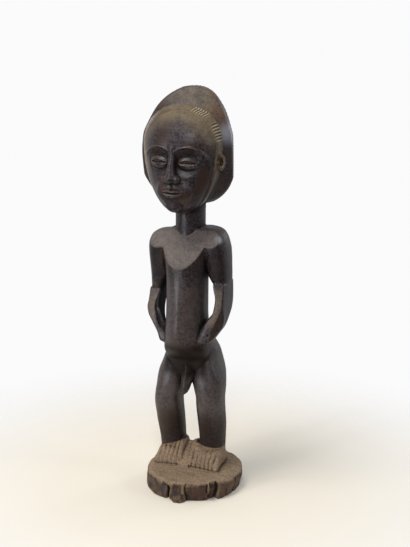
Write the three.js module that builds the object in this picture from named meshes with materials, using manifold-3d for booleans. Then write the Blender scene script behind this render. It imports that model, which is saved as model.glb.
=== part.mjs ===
// A standing male ancestor figure on a round base, all carved from one length of log.
// Its hands rest on its flanks, its hair is swept back in a large rounded coiffure behind a
// raised hairline band, and its broad feet stand on a base with a notched, weathered edge.
// Millimetres, +Z up. The figure faces -Y and its left side is +X.
// The origin is the centre of the base's underside.

import * as THREE from "three";
import { mergeVertices } from "three/addons/utils/BufferGeometryUtils.js";
import Module from "manifold-3d";

const wasm = await Module();
wasm.setup();

// Driving heights above the floor.
const BASE_TOP = 30;
const ANKLE = 60;
const KNEE = 132;
const CROTCH = 164;
const HIP = 200;
const ELBOW = 278;
const CREASE = 310;
const SHOULDER = 396;
const CHIN = 425;
const HAIRLINE = 571;
const CROWN = 600;

// The body stands a little to its right of the base's centre, and the head a little more.
const BODY_X = -8;
const HEAD_X = -11;

// The shoulders tilt: the left arm is carved this much higher than the middle, the right lower.
const TILT = 3.5;

// The chest slopes as one adzed plane from the foot of the neck down to the breast.
const BREAST = { y: -42, z: 348 };
const NECK_FOOT = { y: -14, z: 390 };

// Base: the mean radius of the log, how far it is out of round (lobes of the rim, how far they
// stand out, and where), and the upright notches that the adze and weather left in its edge.
// A bearing is in degrees from straight ahead, towards the figure's left.
const BASE_RADIUS = 73.8;
const BASE_LOBES = [
  { count: 1, height: 3, bearing: 14 },
  { count: 2, height: 1.3, bearing: 22 },
];
const BASE_NOTCHES = [
  { from: -14, to: -9.5, depth: 6 },
  { from: 10, to: 38, depth: 4.2 },
  { from: 38, to: 50, depth: 8 },
  { from: 76, to: 80, depth: 4 },
  { from: 148, to: 156, depth: 4 },
  { from: 235, to: 241, depth: 5 },
];
const BASE_SPUR = { bearing: 3, half: 9, out: 7, high: 9 };

// Face: the usual thirds between hairline and chin, the eyes halfway up, and five eyes to its width.
const FACE_THIRD = (HAIRLINE - 3 - CHIN) / 3;
const BROW_Z = CHIN + 2 * FACE_THIRD;
const NOSE_Z = CHIN + FACE_THIRD;
const MOUTH_Z = NOSE_Z - FACE_THIRD / 3;
const EYE_Z = (HAIRLINE + 3 + CHIN) / 2;
const FACE_HALF = 55;
const EYE_X = (2 * FACE_HALF) / 5;
const EYE_HALF = EYE_X / 2;

// The raised oval rim is the hairline over the forehead and the beard's edge under the jaw.
const RIM = { front: -18, back: -9, proud: 2.2 };

// Behind the rim the hair rises outward by this much for each millimetre further back:
// it stands up steeply beside the face, and slopes back over the top of the head.
const HAIR_SLOPE = { side: 3.5, top: 0.85 };

// Behind, two broad bands of hair cross, and the four corners between them are sunk.
const CROSS = { z: 506, half: 14, sunk: 6 };

const EAR = { x: 57, y: -11, z: 502, tall: 11.5, deep: 7.5, thick: 2.9 };

// Feet: the toes are cut by grooves, and the outer toes lie further forward than the inner ones.
const TOES = { count: 5, front: -23, slant: 7, long: 25, depth: 2.8 };
const FEET = { right: { inner: 9.5, outer: 50.5 }, left: { inner: 1.5, outer: 51.5 } };

// Rows of sizes are read at any place between them, with slopes that never overshoot.
function sizesAt(rows, place) {
  const last = rows.length - 1;
  let i = 0;
  while (i < last - 1 && place > rows[i + 1][0]) i++;
  const span = rows[i + 1][0] - rows[i][0];
  const t = Math.min(1, Math.max(0, (place - rows[i][0]) / span));
  const rise = (k, n) => (rows[k + 1][n] - rows[k][n]) / (rows[k + 1][0] - rows[k][0]);
  const slope = (k, n) => {
    if (k === 0) return rise(0, n);
    if (k === last) return rise(last - 1, n);
    const before = rise(k - 1, n);
    const after = rise(k, n);
    return before * after > 0 ? (2 * before * after) / (before + after) : 0;
  };
  const start = (1 + 2 * t) * (1 - t) ** 2;
  return rows[i].slice(1).map((size, k) => {
    const n = k + 1;
    const bend = t * (1 - t) * ((1 - t) * slope(i, n) - t * slope(i + 1, n)) * span;
    return start * size + (1 - start) * rows[i + 1][n] + bend;
  });
}

// 0 below low, 1 above high, and a smooth rise between; low may be the higher number.
function ramp(low, high, value) {
  const t = Math.min(1, Math.max(0, (value - low) / (high - low)));
  return t * t * (3 - 2 * t);
}

// A smooth swelling: 1 at the middle, 0 from a distance of 1 on.
function hump(distance) {
  const d = Math.min(1, Math.abs(distance));
  return (1 - d * d) ** 2;
}

const at = (x, y, z) => new THREE.Vector3(x, y, z);
const degrees = (list) => list.map((d) => THREE.MathUtils.degToRad((d + 720) % 360)).sort((a, b) => a - b);
const evenAngles = (sides) => degrees(Array.from({ length: sides }, (_, k) => (360 * k) / sides));

// A closed skin over rings of equal count, with a fan over each end.
function skin(rings) {
  const sides = rings[0].length;
  const points = rings.flat();
  const index = [];
  for (let r = 0; r < rings.length - 1; r++) {
    for (let k = 0; k < sides; k++) {
      const a = r * sides + k;
      const b = r * sides + ((k + 1) % sides);
      index.push(a, b, b + sides, a, b + sides, a + sides);
    }
  }
  const top = (rings.length - 1) * sides;
  for (const [start, turned] of [[0, true], [top, false]]) {
    const middle = points.length;
    const centre = at(0, 0, 0);
    for (let k = 0; k < sides; k++) centre.addScaledVector(points[start + k], 1 / sides);
    points.push(centre);
    for (let k = 0; k < sides; k++) {
      const a = start + k;
      const b = start + ((k + 1) % sides);
      index.push(...(turned ? [middle, b, a] : [middle, a, b]));
    }
  }
  return new THREE.BufferGeometry().setFromPoints(points).setIndex(index);
}

// A closed geometry as a solid with its faces pointing out.
function solid(geometry) {
  const bare = geometry.clone();
  bare.deleteAttribute("normal");
  bare.deleteAttribute("uv");
  const merged = mergeVertices(bare, 1e-4);
  const vertProperties = merged.attributes.position.array;
  const triVerts = new Uint32Array(merged.index.array);
  const made = new wasm.Manifold(new wasm.Mesh({ numProp: 3, vertProperties, triVerts }));
  if (made.volume() > 0) return made;
  for (let i = 0; i < triVerts.length; i += 3) {
    [triVerts[i + 1], triVerts[i + 2]] = [triVerts[i + 2], triVerts[i + 1]];
  }
  return new wasm.Manifold(new wasm.Mesh({ numProp: 3, vertProperties, triVerts }));
}

function geometryOf(made) {
  const mesh = made.getMesh();
  const geometry = new THREE.BufferGeometry();
  geometry.setAttribute("position", new THREE.BufferAttribute(mesh.vertProperties, 3));
  geometry.setIndex(new THREE.BufferAttribute(mesh.triVerts, 1));
  geometry.computeVertexNormals();
  return geometry;
}

// A form built of superellipse sections stacked along an axis, a step or less apart.
// A row is [place, low, high, near, far]: a section's two sides, then its front and back
// (or, for a form that runs along y, its underside and top).
function stack(rows, { angles = evenAngles(16), step = 12, power = 2, axis = "z", touch } = {}) {
  const places = [rows[0][0]];
  for (let i = 0; i < rows.length - 1; i++) {
    const span = rows[i + 1][0] - rows[i][0];
    const count = Math.max(1, Math.round(span / step));
    for (let k = 1; k <= count; k++) places.push(rows[i][0] + (span * k) / count);
  }
  const swell = (v) => Math.sign(v) * Math.abs(v) ** (2 / power);
  const rings = places.map((place) => {
    const [low, high, near, far] = sizesAt(rows, place);
    return angles.map((angle) => {
      const across = (low + high) / 2 + ((high - low) / 2) * swell(Math.cos(angle));
      const deep = (near + far) / 2 + ((far - near) / 2) * swell(Math.sin(angle));
      const point = axis === "y" ? at(across, place, deep) : at(across, deep, place);
      touch?.(point);
      return point;
    });
  });
  return solid(skin(rings));
}

// Rows of [place, half width, near, far] about a middle line.
function about(middle, rows) {
  return rows.map(([place, half, near, far]) => [place, middle - half, middle + half, near, far]);
}

// Rows of [place, inner edge, outer edge, near, far] for a limb on one side of the body.
function onSide(side, rows, raised = 0) {
  return rows.map(([place, inner, outer, near, far]) => {
    const edges = [BODY_X + side * inner, BODY_X + side * outer].sort((a, b) => a - b);
    return [place + raised, ...edges, near, far];
  });
}

// A block turned about the x axis, then about the y axis, and set down by its middle.
function block(size, middle, { turnX = 0, turnY = 0 } = {}) {
  const geometry = new THREE.BoxGeometry(size.x, size.y, size.z);
  geometry.rotateX(turnX).rotateY(turnY).translate(middle.x, middle.y, middle.z);
  return solid(geometry);
}

// A flattened ball with its poles to front and back, turned about x, then about z.
function lens(size, middle, { around = 12, rows = 6, turnX = 0, turnZ = 0 } = {}) {
  const geometry = new THREE.SphereGeometry(1, around, rows).rotateX(Math.PI / 2);
  geometry.scale(size.x, size.y, size.z).rotateX(turnX).rotateZ(turnZ);
  return solid(geometry.translate(middle.x, middle.y, middle.z));
}

// Rows of [height, half width, front, back] for the plain egg under the face.
const HEAD_ROWS = [
  [CHIN, 7, -37, -14],
  [CHIN + 4, 18, -45.5, -5],
  [CHIN + 12, 28.5, -50.5, 8],
  [CHIN + 30, 40, -53, 18],
  [CHIN + 52, 49, -54, 25],
  [CHIN + 78, FACE_HALF - 1, -56, 29],
  [CHIN + 98, FACE_HALF, -57, 30],
  [CHIN + 115, FACE_HALF - 2.8, -54.8, 28],
  [HAIRLINE - 18, 45, -49, 22],
  [HAIRLINE - 8, 34, -40.3, 13],
  [HAIRLINE - 1.5, 21, -30, 3],
  [HAIRLINE + 2, 7, -19, -8],
];

// A place on the front of the egg, off its middle line and at a height, sunk by some depth.
function onFace(off, z, sunk = 0) {
  const [half, front, back] = sizesAt(HEAD_ROWS, z);
  const bulge = Math.sqrt(1 - (off / half) ** 2);
  return at(HEAD_X + off, (front + back) / 2 - ((back - front) / 2) * bulge + sunk, z);
}

// Each eye lies in a hollow that is deepest under the arched brow and runs out over the cheek.
function eye(face, side) {
  const turnZ = side * 0.32;
  const hollow = lens(at(24.5, 7.5, 21.5), onFace(side * EYE_X, BROW_Z - 20.5, -1.5), {
    turnX: -0.14,
    turnZ,
    around: 18,
    rows: 7,
  });
  const lid = lens(at(EYE_HALF + 2.5, 6.5, 8.5), onFace(side * EYE_X, EYE_Z, 5.8), { turnZ });
  const slit = lens(at(EYE_HALF, 3.2, 1.3), onFace(side * EYE_X, EYE_Z - 0.5), { turnZ, rows: 4 });
  return face.subtract(hollow).add(lid).subtract(slit);
}

// A long straight nose with small rounded wings.
function nose() {
  const ridge = about(HEAD_X, [
    [NOSE_Z - 1, 4, -64, -50],
    [NOSE_Z + 1, 8.5, -69, -50],
    [NOSE_Z + 6, 8.5, -71.5, -50],
    [NOSE_Z + 13, 6.2, -69.5, -50],
    [NOSE_Z + 28, 4.6, -65, -50],
    [BROW_Z - 8, 4.4, -60.8, -50],
    [BROW_Z + 2, 6, -58.6, -50],
    [BROW_Z + 9, 8, -56, -50],
  ]);
  let made = stack(ridge, { angles: evenAngles(10), power: 1.8, step: 20 });
  for (const side of [-1, 1]) {
    made = made.add(lens(at(5.6, 7, 5.8), at(HEAD_X + side * 8, -59.5, NOSE_Z + 5), { around: 8 }));
  }
  return made;
}

// Full closed lips.
function mouth(face) {
  const upper = lens(at(16.5, 6.5, 4.2), onFace(0, MOUTH_Z + 3.2, 0));
  const lower = lens(at(14, 6.5, 4.4), onFace(0, MOUTH_Z - 3.9, 0.2));
  const parting = lens(at(15.5, 4, 0.9), onFace(0, MOUTH_Z - 0.4, -6.5), { rows: 4 });
  return face.add(upper).add(lower).subtract(parting);
}

function head() {
  let face = stack(about(HEAD_X, HEAD_ROWS), { angles: evenAngles(30), step: 16 });
  for (const side of [-1, 1]) face = eye(face, side);
  return mouth(face).add(nose());
}

// The egg's outline, a little larger, as a flat oval ring behind the face.
function rim() {
  const grown = HEAD_ROWS.map(([z, half, near, far], i) => {
    const lift = i === 0 ? -RIM.proud : i === HEAD_ROWS.length - 1 ? RIM.proud : 0;
    return [z + lift, half + RIM.proud, near - RIM.proud, far + RIM.proud];
  });
  const slab = block(at(200, RIM.back - RIM.front, 300), at(0, (RIM.front + RIM.back) / 2, CHIN + 80));
  return stack(about(HEAD_X, grown), { angles: evenAngles(30), step: 16 }).intersect(slab);
}

// Rows of [height, half width, front, back] for the dome of swept-back hair.
const HAIR_ROWS = [
  [CHIN + 6, 17, 5, 36],
  [CHIN + 11, 36, -12, 46],
  [CHIN + 24, 52.5, -30, 54],
  [CHIN + 37, 61.5, -42, 58],
  [CHIN + 48, 66, -50, 59],
  [CHIN + 84, 67.2, -60, 59],
  [CHIN + 104, 66, -57, 59],
  [CHIN + 122, 61, -49, 57],
  [CHIN + 140, 53, -37, 55],
  [CROWN - 21, 44, -25, 51],
  [CROWN - 11, 34.5, -11, 46],
  [CROWN - 4, 22.5, -1, 42],
  [CROWN, 12, 8, 36],
];

// The hair springs from the rim and slopes back and out: a loft from the egg's outline to a wider one.
function flare() {
  const sides = 28;
  const middle = (HAIRLINE + CHIN) / 2;
  const pastTheHair = 80;
  const outline = (y) => {
    return Array.from({ length: sides }, (_, k) => {
      const angle = (2 * Math.PI * (k + 0.5)) / sides;
      const topmost = Math.max(0, Math.sin(angle)) ** 3;
      const slope = HAIR_SLOPE.side + (HAIR_SLOPE.top - HAIR_SLOPE.side) * topmost;
      const grown = RIM.proud + slope * (y - RIM.back);
      const z = middle + ((HAIRLINE - CHIN) / 2) * Math.sin(angle);
      const half = sizesAt(HEAD_ROWS, z)[0] * Math.sign(Math.cos(angle));
      return at(HEAD_X + half + grown * Math.cos(angle), y, z + grown * Math.sin(angle));
    });
  };
  return solid(skin([outline(RIM.back - 1), outline(pastTheHair)]));
}

function coiffure() {
  const finish = { angles: evenAngles(32), step: 14 };
  const dome = stack(about(HEAD_X, HAIR_ROWS), finish);
  const sunk = HAIR_ROWS.map(([z, half, near, far]) => [z, half - CROSS.sunk, near, far - CROSS.sunk]);
  const inner = stack(about(HEAD_X, sunk), finish);
  let made = dome.intersect(flare());
  for (const side of [-1, 1]) {
    for (const rise of [-1, 1]) {
      const size = at(80, 70, 60);
      const middle = at(HEAD_X, 65, CROSS.z);
      middle.x += side * (CROSS.half + size.x / 2);
      middle.z += rise * (CROSS.half + size.z / 2);
      made = made.subtract(block(size, middle, { turnY: side * rise * 0.18 }).subtract(inner));
    }
    made = made.subtract(lens(at(5.5, 9, 17), at(HEAD_X + side * (EAR.x + 3), RIM.back, EAR.z - 3)));
  }
  return made;
}

// A small ear: a C-shaped ridge, open to the front.
function ear(side) {
  const turns = 8;
  const rings = Array.from({ length: turns + 1 }, (_, i) => {
    const turn = THREE.MathUtils.degToRad(-125 + (250 * i) / turns);
    const out = at(0, Math.cos(turn), Math.sin(turn));
    const middle = at(HEAD_X + EAR.x * side, EAR.y + EAR.deep * out.y, EAR.z + EAR.tall * out.z);
    const fat = EAR.thick * (i === 0 || i === turns ? 0.5 : 1);
    return evenAngles(6).map((angle) => {
      const point = middle.clone().addScaledVector(out, fat * Math.cos(angle));
      point.x += side * 1.8 * fat * Math.sin(angle);
      return point;
    });
  });
  return solid(skin(rings));
}

function neck() {
  return stack(
    about(BODY_X - 0.5, [
      [SHOULDER - 36, 22.5, -11, 29],
      [SHOULDER - 10, 21.8, -16, 28],
      [CHIN + 8, 21.8, -16, 28],
      [CHIN + 30, 22, -17, 28],
    ]),
    { angles: evenAngles(18), step: 40 },
  );
}

// The trunk swells to the belly, with a soft ridge down its middle line.
function torso() {
  const keel = (point) => {
    const high = ramp(HIP + 4, HIP + 34, point.z) * ramp(BREAST.z - 5, BREAST.z - 35, point.z);
    if (point.y < 0) point.y -= 2.2 * high * hump((point.x - BODY_X) / 17);
  };
  return stack(
    about(BODY_X, [
      [CROTCH + 4, 10, -12, 26],
      [HIP - 18, 28, -20, 34],
      [HIP, 34, -27, 38],
      [HIP + 14, 34.5, -37, 36],
      [HIP + 26, 32.5, -43, 34],
      [HIP + 46, 30, -45, 31],
      [ELBOW, 28.5, -44, 29],
      [CREASE + 15, 28.5, -43.5, 29],
      [SHOULDER - 53, 30, -43, 30],
      [SHOULDER - 34, 34.5, -41, 31],
      [SHOULDER - 18, 38, -35, 30],
      [SHOULDER - 6, 35, -24, 27],
      [SHOULDER + 1, 26, -14, 24],
    ]),
    { angles: evenAngles(24), power: 2.25, step: 16, touch: keel },
  );
}

// Shoulder and upper arm hang straight down to the crease of the elbow.
function upperArm(side) {
  const rows = [
    [CREASE - 18, 46, 56, 4, 27],
    [CREASE - 8, 43, 59, -6, 29],
    [CREASE, 38, 60, -11, 31],
    [CREASE + 8, 33, 60.6, -13, 31],
    [CREASE + 18, 29, 61, -15, 31],
    [SHOULDER - 50, 27, 61.3, -19, 31],
    [SHOULDER - 34, 24, 61, -24, 31],
    [SHOULDER - 20, 20, 59, -27, 29],
    [SHOULDER - 8, 19, 53.5, -22, 26],
    [SHOULDER - 2, 18, 46, -13, 22],
    [SHOULDER, 18, 38, -6, 18],
  ];
  return stack(onSide(side, rows, side * TILT), { angles: evenAngles(16), power: 2.4, step: 16 });
}

// The forearm steps forward at the crease and comes down and inward to the hand on the flank.
// The right elbow stands out, and that forearm turns in from higher up than the left one.
const FOREARM_ROWS = {
  right: [
    [HIP + 31, 24, 31, -30, -18],
    [HIP + 35, 21, 36, -34, -10],
    [HIP + 46, 27, 43, -32, -4],
    [HIP + 58, 37, 51.5, -28, 3],
    [HIP + 72, 42, 60, -25, 14],
    [ELBOW + 3, 46, 61.5, -23, 25],
    [ELBOW + 14, 44.5, 60.5, -20, 29],
    [CREASE - 2, 41, 59.5, -17, 30],
    [CREASE + 2, 43, 57.5, -9, 26],
  ],
  left: [
    [HIP + 26, 26, 38, -30, -18],
    [HIP + 31, 23, 44, -34, -10],
    [HIP + 42, 26, 52, -34, -2],
    [HIP + 52, 31, 58, -32, 6],
    [HIP + 63, 37, 61.5, -30, 14],
    [ELBOW - 3, 42, 62.2, -25, 24],
    [ELBOW + 14, 45, 62, -20, 29],
    [CREASE - 2, 42, 61, -17, 30],
    [CREASE + 2, 44, 59, -9, 26],
  ],
};

function forearm(side) {
  const rows = side < 0 ? FOREARM_ROWS.right : FOREARM_ROWS.left;
  let made = stack(onSide(side, rows, side * TILT), { angles: evenAngles(14), power: 2.7, step: 16 });
  // Three cuts part the fingers.
  for (const finger of [0, 1, 2]) {
    const middle = at(BODY_X + side * (34 + 3 * finger), -36 + 8 * finger, HIP + 34 + side * TILT);
    made = made.subtract(block(at(30, 1.6, 22), middle, { turnX: -0.5, turnY: side * 0.5 }));
  }
  return made;
}

// The legs bend a little at the knee and run up into the buttocks. The right one stands further out.
function leg(side) {
  const out = side < 0 ? 1.5 : 0;
  return stack(
    onSide(side, [
      [BASE_TOP - 6, 12 + out, 48 + out, -3, 34],
      [ANKLE - 14, 12 + out, 49.5 + out, -4, 34],
      [ANKLE + 6, 12.5 + out, 50.6 + out, -6, 33],
      [ANKLE + 38, 12.6 + out, 53 + out, -14, 31],
      [KNEE - 8, 12.8 + out, 53.4 + out, -22, 27],
      [KNEE + 6, 12.8 + out, 53.6, -24.5, 26],
      [CROTCH - 10, 9, 53.2, -24, 30],
      [CROTCH + 10, 3, 51.4, -21, 36],
      [HIP - 8, 2, 46, -17, 41],
      [HIP + 8, 3, 40.4, -11, 41],
      [HIP + 22, 6, 33, -5, 37],
      [HIP + 36, 9, 25, 0, 31],
    ]),
    { angles: evenAngles(18), power: 2.35, step: 20 },
  );
}

// Each foot is a broad block that slopes down to a row of toes parted by deep grooves.
function foot(side) {
  const { inner, outer } = side < 0 ? FEET.right : FEET.left;
  const { count, front, slant, long, depth } = TOES;
  const sole = BASE_TOP - 6;
  const rows = onSide(side, [
    [front, inner, outer, sole, BASE_TOP + 9],
    [front + 3, inner - 1, outer + 1, sole, BASE_TOP + 13],
    [front + 13, inner, outer, sole, BASE_TOP + 19],
    [-2, inner - 1, outer - 1, sole, BASE_TOP + 28],
    [12, inner - 3, outer - 2, sole, BASE_TOP + 35],
    [30, inner + 4, outer - 4, sole, BASE_TOP + 24],
    [40, inner + 10, outer - 9, sole, BASE_TOP + 12],
  ]);
  const carve = (point) => {
    const across = (Math.abs(point.x - BODY_X) - inner) / (outer - inner);
    const valley = 1 - Math.abs(Math.sin(Math.PI * count * across)) ** 0.6;
    const cut = depth * valley * ramp(front + long, front + long - 8, point.y);
    if (point.z > BASE_TOP) point.z = Math.max(BASE_TOP + 1, point.z - cut);
    point.y += slant * (1 - across) * ramp(10, front, point.y);
  };
  // Four columns to a toe run over the top, and three close the flat sole.
  const power = 3.2;
  const tops = Array.from({ length: 4 * count + 1 }, (_, k) => {
    const across = 1 - k / (2 * count);
    return THREE.MathUtils.radToDeg(Math.acos(Math.sign(across) * Math.abs(across) ** (power / 2)));
  });
  const angles = degrees([...tops, 215, 270, 325]);
  return stack(rows, { angles, power, axis: "y", step: 9, touch: carve });
}

// A plain tapering form whose tip hangs towards the right leg.
function manhood() {
  return stack(
    onSide(1, [
      [CROTCH - 16, -2.5, 2, -29, -22],
      [CROTCH - 12, -4.5, 6, -31, -17],
      [CROTCH, -4.5, 10.5, -30, -12],
      [CROTCH + 19, -4.5, 15, -28, -6],
      [CROTCH + 34, -4, 14, -24, 0],
    ]),
    { angles: evenAngles(10), step: 20 },
  );
}

// A short drum, worn round at its top edge, with notches whose walls are nearly square.
function base() {
  const wall = 0.8;
  const edges = BASE_NOTCHES.flatMap(({ from, to }) => [from, from + wall, to - wall, to]);
  const spur = [-1, -0.5, 0, 0.5, 1].map((k) => BASE_SPUR.bearing + k * BASE_SPUR.half);
  const around = Array.from({ length: 30 }, (_, k) => 12 * k + 3);
  const angles = degrees([...around, ...edges, ...spur].map((bearing) => bearing - 90));
  const hew = (point) => {
    const bearing = THREE.MathUtils.radToDeg(Math.atan2(point.x, -point.y));
    let out = 0;
    for (const lobe of BASE_LOBES) {
      out += lobe.height * Math.cos(lobe.count * THREE.MathUtils.degToRad(bearing - lobe.bearing));
    }
    for (const { from, to, depth } of BASE_NOTCHES) {
      const off = (bearing - from + 720) % 360;
      if (off < to - from) out -= depth * Math.min(1, off / wall, (to - from - off) / wall);
    }
    const low = ramp(BASE_SPUR.high, 0, point.z);
    out += BASE_SPUR.out * low * hump((bearing - BASE_SPUR.bearing) / BASE_SPUR.half);
    const radius = Math.hypot(point.x, point.y);
    point.x *= (radius + out) / radius;
    point.y *= (radius + out) / radius;
  };
  const r = BASE_RADIUS;
  return stack(
    [
      [0, -r + 2, r - 2, -r + 2, r - 2],
      [BASE_SPUR.high, -r, r, -r, r],
      [BASE_TOP - 3, -r, r, -r, r],
      [BASE_TOP, -r + 3.5, r - 3.5, -r + 3.5, r - 3.5],
    ],
    { angles, step: 30, touch: hew },
  );
}

// The adzed plane of the chest cuts the fronts of the trunk and both shoulders alike.
function chestPlane() {
  const lean = Math.atan2(NECK_FOOT.y - BREAST.y, NECK_FOOT.z - BREAST.z);
  const middle = at(0, (BREAST.y + NECK_FOOT.y) / 2, (BREAST.z + NECK_FOOT.z) / 2);
  const deep = 60;
  middle.y -= (deep / 2) * Math.cos(lean);
  middle.z += (deep / 2) * Math.sin(lean);
  return block(at(300, deep, 110), middle, { turnX: -lean });
}

function carving() {
  let trunk = torso();
  for (const side of [-1, 1]) trunk = trunk.add(upperArm(side));
  let made = base().add(trunk.subtract(chestPlane()));
  for (const mass of [manhood(), neck(), head(), rim(), coiffure()]) made = made.add(mass);
  for (const side of [-1, 1]) {
    for (const mass of [foot(side), leg(side), forearm(side), ear(side)]) made = made.add(mass);
  }
  return made;
}

const patinatedWood = new THREE.MeshStandardMaterial({ color: 0x3a3029, roughness: 0.5, metalness: 0 });
const figure = new THREE.Mesh(geometryOf(carving()), patinatedWood);
figure.name = "hemba_figure";

const part = new THREE.Group();
part.add(figure);

export default part;
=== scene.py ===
# A standing male ancestor figure on its round base, carved from one length of dark wood.
# The figure is carved here as a block of distances to its surface, in millimetres, so that each
# form runs softly or crisply into the next, as a knife leaves it. The block then becomes one mesh.
import math
from functools import partial
from itertools import product

import bpy
import numpy as np
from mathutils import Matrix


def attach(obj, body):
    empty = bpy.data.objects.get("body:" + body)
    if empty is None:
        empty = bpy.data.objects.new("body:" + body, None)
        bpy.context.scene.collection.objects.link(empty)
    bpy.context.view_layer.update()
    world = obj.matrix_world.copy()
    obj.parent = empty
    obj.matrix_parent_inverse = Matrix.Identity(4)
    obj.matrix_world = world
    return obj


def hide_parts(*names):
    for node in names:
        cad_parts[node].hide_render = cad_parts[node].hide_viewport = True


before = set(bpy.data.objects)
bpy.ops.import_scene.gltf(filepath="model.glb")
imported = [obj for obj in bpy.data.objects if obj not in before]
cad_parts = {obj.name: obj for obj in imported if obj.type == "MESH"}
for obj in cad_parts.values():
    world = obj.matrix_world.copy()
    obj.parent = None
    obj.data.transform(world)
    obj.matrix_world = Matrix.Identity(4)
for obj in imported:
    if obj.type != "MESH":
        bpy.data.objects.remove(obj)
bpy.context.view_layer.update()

NODE = "hemba_figure"
MM = 0.001

# Driving heights above the floor, as in the solid.
BASE_TOP = 30
ANKLE = 60
KNEE = 132
CROTCH = 164
HIP = 200
ELBOW = 278
CREASE = 310
SHOULDER = 396
CHIN = 425
HAIRLINE = 571
CROWN = 600

# The body and the head stand a little to the figure's right, and its left shoulder is the higher.
BODY_X = -8
HEAD_X = -11
TILT = 3.5

# The adzed plane of the chest runs from the breast up to the foot of the neck, as (y, z).
BREAST = (-42, 348)
NECK_FOOT = (-14, 390)

# Base: bearings are in degrees from straight ahead, towards the figure's left. A notch runs
# from one bearing to another, has a depth, and reaches up to a height.
BASE_RADIUS = 73.8
BASE_LOBES = [(1, 3, 14), (2, 1.3, 22)]
BASE_NOTCHES = [
    (-11.8, -7.4, 7, 25),
    (10, 38, 4.5, 60),
    (38, 50, 8.5, 33),
    (60, 62.5, 3, 18),
    (76, 80, 4.5, 26),
    (-44, -41, 2.5, 15),
    (148, 156, 4, 33),
    (235, 241, 5, 28),
]
NOTCH_WALL = 1.2
SPUR_BEARING, SPUR_HALF, SPUR_OUT, SPUR_HIGH = 3, 9, 7.5, 18

# Face: the usual thirds between hairline and chin, the eyes halfway up, five eyes to its width.
FACE_THIRD = (HAIRLINE - 3 - CHIN) / 3
BROW_Z = CHIN + 2 * FACE_THIRD
NOSE_Z = CHIN + FACE_THIRD
MOUTH_Z = NOSE_Z - FACE_THIRD / 3
EYE_Z = (HAIRLINE + 3 + CHIN) / 2
FACE_MIDDLE = (HAIRLINE + CHIN) / 2
FACE_HALF = 55
EYE_X = 2 * FACE_HALF / 5
EYE_HALF = EYE_X / 2

# The hairline's raised band stands prouder on the figure's right.
RIM_FRONT, RIM_BACK, RIM_PROUD, RIM_MORE = -25, -9, 2.4, 1.8
# Slanting cuts cross the band in two groups: (start, end, step) in degrees from straight up.
HATCHED = [(11, 32, 3.0), (39, 64, 3.5)]
HATCH_SLANT, HATCH_DEEP, HATCH_FRONT = -0.04, 0.9, -23.5
# The hair slopes back from the band: steeply on the figure's right, gently on its left.
HAIR_SLOPE, HAIR_SLOPE_TOP = {-1: 3.5, 1: 0.7}, 0.85
CROSS_Z, CROSS_HALF, CROSS_SUNK = 506, 14, 6
EAR_Z, EAR_TALL, EAR_DEEP, EAR_THICK, EAR_TURN = 498, 9, 4.6, 3.0, math.radians(42)
EAR_X, EAR_Y = {-1: 54.5, 1: 56.5}, {-1: -14, 1: -13}

# The right foot's toe grooves are long and shallow, the left foot's shorter and deeper.
TOE_FRONT, TOE_SLANT = -23, 7
TOE_COUNT = {-1: 6, 1: 7}
TOE_LONG = {-1: 42, 1: 22}
TOE_DEEP = {-1: 0.75, 1: 1.3}
ANKLE_RISE = {-1: 12, 1: 5}
WEB_FOOT, WEB_SLOPE, WEB_HIGH = -21, 1.0, 31
FOOT_EDGES = {-1: (9.5, 50.5), 1: (1.5, 51.5)}

# How far a form's distances are worked out around it, and the value of untouched space.
MARGIN = 7
FAR = 12.0

TRIANGLES, QUICK_TRIANGLES = 195000, 60000
FLOOR_RADIUS, FLOOR_SIDES, FLOOR_FADE = 1.5, 64, (0.14, 0.6)


def ramp(low, high, value):
    """0 below low, 1 above high, and a smooth rise between. Low may be the higher number."""
    t = np.clip((value - low) / (high - low), 0, 1)
    return t * t * (3 - 2 * t)


def hump(distance):
    """A smooth swelling: 1 at the middle, 0 from a distance of 1 on."""
    d = np.clip(np.abs(distance), 0, 1)
    return (1 - d * d) ** 2


def smooth_max(a, b, soft):
    """The larger of two fields, with the edge between them rounded over."""
    near = np.maximum(soft - np.abs(a - b), 0) / soft
    return np.maximum(a, b) + near * near * (soft / 4)


def smooth_min(a, b, soft):
    return -smooth_max(-a, -b, soft)


def sizes_at(rows, places):
    """Rows of (place, size, ...) read at any place between them, with slopes that never overshoot."""
    rows = np.asarray(rows, float)
    knots, sizes = rows[:, 0], rows[:, 1:]
    rise = np.diff(sizes, axis=0) / np.diff(knots)[:, None]
    slope = np.zeros_like(sizes)
    slope[0], slope[-1] = rise[0], rise[-1]
    before, after = rise[:-1], rise[1:]
    same = before * after > 0
    slope[1:-1][same] = 2 * (before * after)[same] / (before + after)[same]
    i = np.clip(np.searchsorted(knots, places, side="right") - 1, 0, len(knots) - 2)
    span = (knots[i + 1] - knots[i])[:, None]
    t = np.clip((places - knots[i])[:, None] / span, 0, 1)
    start = (1 + 2 * t) * (1 - t) ** 2
    bend = t * (1 - t) * ((1 - t) * slope[i] - t * slope[i + 1]) * span
    return start * sizes[i] + (1 - start) * sizes[i + 1] + bend


def spaced(runs):
    """Places along one axis: each run is (start, end, step)."""
    parts = [np.arange(start, end, step) for start, end, step in runs]
    return np.concatenate(parts + [[runs[-1][1]]]).astype(np.float32)


def even_distance(value, x, y, z, least):
    """A field that is zero on a surface, scaled to read as millimetres near it."""
    slopes = np.gradient(value, x.ravel(), y.ravel(), z.ravel())
    steep = np.sqrt(sum(s * s for s in slopes))
    return value / np.maximum(steep, least)


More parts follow.
